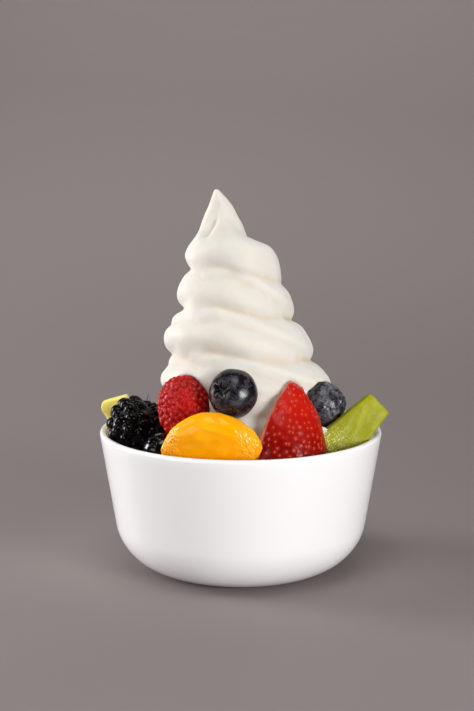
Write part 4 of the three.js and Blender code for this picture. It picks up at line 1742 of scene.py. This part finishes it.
@dataclass
class KiwiStick:
    """Stick of kiwi flesh along its own X, with worn edges and cut faces that aren't quite flat."""

    name: str
    place: Place
    length: float
    outer_width: float
    inner_width: float
    thickness: float
    finish: KiwiFlesh
    worn: float = 0.7
    slant: float = 0.0  # how much further the inner end reaches on its own -Z side
    bulge: float = 0.0  # of its own -Z side, towards the outer end
    bulge_from: float = 0.4  # share of its length
    wedge: float = 0.0  # how much thinner it is on its own -Z side
    skin_inset: float = 0.12
    seed: int = 41

    def section(self, share: float, inset: float) -> Array:
        """Rounded rectangle across the stick at a share of its length.

        Args:
            share: 0 at the inner end, 1 at the outer end.
            inset: how far the outline is drawn in.

        Returns:
            The outline's points.
        """
        half = np.array([
            self.thickness / 2 - inset,
            lerp(self.inner_width, self.outer_width, share) / 2 - inset,
        ])
        angle = np.linspace(0, FULL_TURN, 72, endpoint=False)
        circle = np.stack([np.cos(angle), np.sin(angle)], axis=1)
        worn = min(self.worn, half.min())
        # points of the circle at each corner, spread along the straight sides between
        square = circle / np.abs(circle).max(axis=1, keepdims=True)
        core = np.clip(square * half, -(half - worn), half - worn)
        out = square * half - core
        length = np.maximum(np.linalg.norm(out, axis=1, keepdims=True), 1e-9)
        flat = core + out / length * worn
        outer = max(0.0, (share - self.bulge_from) / (1 - self.bulge_from))
        lower = 0.5 - flat[:, 1:] / self.inner_width
        forward = 0.5 + flat[:, :1] / self.thickness
        flat = flat - lower * (0, self.bulge * math.sin(math.pi * outer**2))
        flat[:, :1] -= self.wedge * forward * lower
        along = (share - 0.5) * self.length - self.slant * (1 - share) * lower
        return np.concatenate([along, flat], axis=1)

    def build(self) -> None:
        """Makes the stick."""
        bevel = self.worn / self.length
        turn = np.linspace(0.06, 1, 6) * math.pi / 2
        rounds = [(bevel * (1 - math.cos(a)), self.worn * (1 - math.sin(a))) for a in turn]
        rings = [self.section(share, inset) for share, inset in rounds]
        rings += [self.section(share, 0) for share in np.linspace(bevel, 1 - bevel, 70)[1:-1]]
        rings += [self.section(1 - share, inset) for share, inset in rounds[::-1]]
        rings = np.array(rings)
        points, faces = loft(rings, rings[0].mean(axis=0), rings[-1].mean(axis=0))
        own = points.copy()
        relief = 0.1 * ripple(points * (0.4, 1, 1), 3.0, self.seed)
        points = points + normals_of(points, faces) * (relief - self.skin_inset)[:, None]
        piece = add_piece(
            self.name + "_stick", (self.place.put(points), faces), self.finish.material(),
            self.name,
        )
        layer = piece.data.attributes.new("own", "FLOAT_VECTOR", "POINT")
        layer.data.foreach_set("vector", own.astype(np.float32).ravel())


# --- the studio ---


@dataclass(frozen=True)
class Softbox:
    """Soft rectangular lamp that looks at a point from a bearing, 0 being the camera's side."""

    name: str
    bearing: float
    elevation: float
    distance: float
    width: float
    height: float
    power: float
    colour: str = "FFFFFF"
    target: Triple = (0, 0, 60)
    spread: float = 180.0

    def stand(self) -> Triple:
        """Where the lamp stands.

        Returns:
            The place of its middle.
        """
        bearing, elevation = math.radians(self.bearing), math.radians(self.elevation)
        flat = self.distance * math.cos(elevation)
        across, along = flat * math.sin(bearing), -flat * math.cos(bearing)
        return (across, along, self.target[2] + self.distance * math.sin(elevation))


@dataclass
class Studio:
    """Pale floor, soft lights and the camera."""

    camera_at: Triple = (-1.36, -590.83, 183.3)
    camera_to: Triple = (-1.36, 0.0, 78.8)
    lens: float = 82.95
    sensor: float = 36.0
    floor: str = "857D7B"
    tooth_mm: float = 1.5  # of the paper's grain
    floor_front: float = -1600.0
    bend_from: float = 300.0  # where the floor starts to roll up
    bend_radius: float = 1500.0
    half_width: float = 2600.0  # of the floor, and the backdrop's height
    air: float = 0.06
    air_colour: str = "F4F1EF"
    lamps: tuple[Softbox, ...] = (
        Softbox("left_softbox", -105, 8, 800, 260, 400, 6.5),
        Softbox("front_softbox", -45, 8, 800, 400, 400, 1.8),
        Softbox("right_softbox", 42, 8, 800, 260, 260, 5.8),
        Softbox("high_left_softbox", -90, 38, 800, 400, 400, 1.2),
        Softbox("rear_softbox", 170, 38, 800, 800, 350, 1.2),
        Softbox("top_softbox", 0, 72, 840, 400, 400, 2.6),
        Softbox("backdrop_softbox", 0, 60, 1500, 1600, 500, 5.0, target=(0, 1300, 300), spread=50),
    )

    def aim(self, thing: bpy.types.Object, start: Triple, end: Triple) -> None:
        """Stands a camera or lamp at a point and turns it to another.

        Args:
            thing: the camera or lamp.
            start: where it stands.
            end: what it looks at.
        """
        thing.location = Vector(start) * MM
        thing.rotation_euler = (Vector(end) - Vector(start)).to_track_quat("-Z", "Y").to_euler()

    def add_camera(self) -> None:
        """Adds the camera."""
        camera = bpy.data.cameras.new("camera")
        camera.lens = self.lens
        camera.sensor_width = self.sensor
        camera.clip_start = 0.01
        thing = bpy.data.objects.new("camera", camera)
        bpy.context.scene.collection.objects.link(thing)
        self.aim(thing, self.camera_at, self.camera_to)
        bpy.context.scene.camera = thing

    def add_lamp(self, lamp: Softbox) -> None:
        """Adds a softbox.

        Args:
            lamp: what it is and where it stands.
        """
        light = bpy.data.lights.new(lamp.name, "AREA")
        light.shape = "RECTANGLE"
        light.size, light.size_y = lamp.width * MM, lamp.height * MM
        light.energy = lamp.power
        light.spread = math.radians(lamp.spread)
        light.color = linear(lamp.colour)[:3]
        thing = bpy.data.objects.new(lamp.name, light)
        bpy.context.scene.collection.objects.link(thing)
        self.aim(thing, lamp.stand(), lamp.target)

    def add_floor(self) -> None:
        """Adds the floor, which rolls up into a backdrop far behind."""
        rows = {
            "place": ("TexCoord",),
            "tooth": ("TexNoise", {
                "Vector": ">place.Object", "Scale": per_mm(self.tooth_mm), "Detail": 2.0,
            }),
            "bump": ("Bump", {"Height": ">tooth", "Strength": 0.1, "Distance": 0.1 * MM}),
        }
        material = make_material("paper_sweep", rows, {
            "Base Color": linear(self.floor), "Roughness": 0.7, "Specular IOR Level": 0.2,
            "Normal": ">bump",
        })
        turn = np.linspace(0, math.pi / 2, 25)
        bend = [
            self.bend_from + self.bend_radius * np.sin(turn),
            self.bend_radius - self.bend_radius * np.cos(turn),
        ]
        back = self.bend_from + self.bend_radius
        line = np.concatenate(
            [[[self.floor_front, 0], [0, 0]], np.stack(bend, axis=1), [[back, self.half_width]]]
        )
        sides = (-self.half_width, self.half_width)
        points = np.array([(x, y, z) for x in sides for y, z in line])
        count = len(line)
        start = np.arange(count - 1)
        quads = np.stack([start, start + count, start + count + 1, start + 1], axis=1)
        mesh = bpy.data.meshes.new("floor")
        mesh.from_pydata((points * MM).tolist(), [], quads.tolist())
        mesh.polygons.foreach_set("use_smooth", np.ones(len(quads), bool))
        mesh.materials.append(material)
        floor = bpy.data.objects.new("floor", mesh)
        bpy.context.scene.collection.objects.link(floor)

    def build(self) -> None:
        """Sets up the whole studio."""
        self.add_camera()
        self.add_floor()
        for lamp in self.lamps:
            self.add_lamp(lamp)
        world = bpy.data.worlds.new("studio_air")
        world.use_nodes = True
        air = world.node_tree.nodes["Background"].inputs
        air["Color"].default_value = linear(self.air_colour)
        air["Strength"].default_value = self.air
        scene = bpy.context.scene
        scene.world = world
        scene.view_settings.view_transform = "Standard"


def build_fruit() -> dict[str, Triple]:
    """Builds all the fruit.

    Returns:
        For each fruit's node, the direction in which its pocket in the yogurt is open.
    """
    bramble_skin = BerrySkin(
        "bramble_skin", crest="050304", crease_shade="020102", patch="080507", patch_mm=5.0,
        roughness=0.03, coat=0.0, scatter=0.0, gloss=0.2,
    )
    raspberry_skin = BerrySkin(
        "raspberry_skin", crest="A60C08", crease_shade="780606", patch="B61810", patch_mm=6.0,
        roughness=0.35, coat=0.45, scatter=0.3, crease_shade_from=0.25, gloss=0.0,
        coat_roughness=0.12,
    )
    rubbed = WaxyBlueberry("rubbed_blueberry", bloom="4E4D58", bloom_cover=0.5, roughness=0.24)
    # near-black copy of the blueberry finish with little bloom, for the berry deep in shade by the
    # bramble: painted shade
    shade_dark = WaxyBlueberry(
        "shade_dark_blueberry", skin="070608", bloom="1A1C24", bloom_cover=0.3, roughness=0.1
    )
    bloomed = WaxyBlueberry(
        "bloomed_blueberry", bloom="74747F", bloom_cover=0.68, bloom_mm=2.2, roughness=0.2
    )
    pulp = MandarinPulp()
    red = StrawberrySkin()
    seeds = DrySeed("strawberry_seed", "B84A32")
    green = KiwiFlesh()
    yellow = KiwiFlesh(flesh="F2DC6A", pale="F8EA9A")
    bramble = {
        "slot": Slot.BRAMBLE, "finish": bramble_skin, "drupelets": 62, "radius": 10.3,
        "half_height": 10.7, "taper": 0.05, "swell": 1.1, "bead": 2.45, "seed": 7,
        "slump": 1.7,
    }
    raspberry = {
        "slot": Slot.RASPBERRY, "finish": raspberry_skin, "drupelets": 320, "radius": 9.3,
        "half_height": 11.0, "taper": 0.04, "swell": 0.6, "bead": 1.12, "seed": 8,
        "fullness": 2.4,
    }
    front_bramble = DrupeletBerry(
        "bramble", Place((-37.7, -9.3, 54.8), (-0.45, -0.75, -0.25)), **bramble
    )
    fruits = [
        front_bramble,
        DriedHairs(front_bramble, DrySeed("dried_hair", "2C1C18"), (0.5, -0.5, 0.62)),
        DrupeletBerry(
            "raspberry_front", Place((-19.7, -24, 64.3), (-0.12, -0.1, 1)), **raspberry
        ),
        DrupeletBerry("raspberry_back", Place((-15, 35.5, 59), (-0.2, 0.35, 0.9)), **raspberry),
        Blueberry(
            "blueberry_front", 8.7, Place((-2.7, -34.6, 71.5), (-0.57, -0.74, 0.33)), rubbed
        ),
        Blueberry("blueberry_left", 6.3, Place((-28.5, -26.6, 49.6), (-0.3, -0.5, 0.6)), shade_dark),
        Blueberry(
            "blueberry_right", 8.4, Place((30.2, -8.4, 62.2), (0.9, -0.3, 0.25)), bloomed,
            wrinkles=0.25,
        ),
        Blueberry("blueberry_back", 8.6, Place((3.6, 38, 59), (0.2, 0.75, 0.6)), rubbed),
        Mandarin(
            "mandarin_front", 1.0, Place((-10.2, -40.3, 46.1), (0, -0.12, 1), (1, -0.17, 0.03)),
            pulp,
        ),
        Mandarin(
            "mandarin_back", 0.85, Place((-32.6, 24.6, 38.1), (0, 0, 1), (0.59, 0.81, 0)), pulp
        ),
        Strawberry(
            "strawberry_front", 1.0, Place((17.9, -24.3, 74.2), (0.22, 0.13, 1), (0.87, -0.5, 0)),
            red, seeds,
        ),
        Strawberry(
            "strawberry_back", 0.85, Place((19.9, 28.4, 67), (0.07, 0.1, 1), (0.57, 0.82, 0)),
            red, seeds,
        ),
        KiwiStick(
            "kiwi_right", Place((41.4, -15.3, 55.3), (-0.7, 0, 0.71), (0.71, 0.35, 0.7)),
            24.4, 10, 16.5, 6, green, slant=6.0,
        ),
        KiwiStick(
            "kiwi_left", Place((-44.2, 5.7, 53), (0.96, 0, 0.28), (-0.28, 0, 0.96)),
            18, 9.8, 8, 7.4, yellow, bulge=1.3, wedge=3.6,
        ),
    ]
    for fruit in fruits:
        fruit.build()
    return {
        "bramble": (0.5, -0.8, 0.2), "raspberry_front": (-0.4, -0.9, 0),
        "blueberry_front": (0, -1, 0), "blueberry_left": (0, 0, 1),
        "mandarin_front": (0, 0, 1), "strawberry_front": (0.3, -0.9, 0),
        "blueberry_right": (-0.15, -1, 0.15), "kiwi_right": (0, 0, 0),
        "kiwi_left": (0, 0, 0), "strawberry_back": (0.5, 0.8, 0),
        "blueberry_back": (0, 0.7, 0.7), "raspberry_back": (-0.3, 0.6, 0.7),
        "mandarin_back": (0, 0, 1),
    }


def main() -> None:
    """Builds the studio, the bowl, the fruit and the yogurt."""
    logging.basicConfig(level=logging.INFO, format="%(name)s: %(message)s")
    Studio().build()
    bowl = Bowl()
    bowl.build()
    openings = build_fruit()
    Yogurt(bowl, openings).build()


if __name__ == "__main__":
    main()
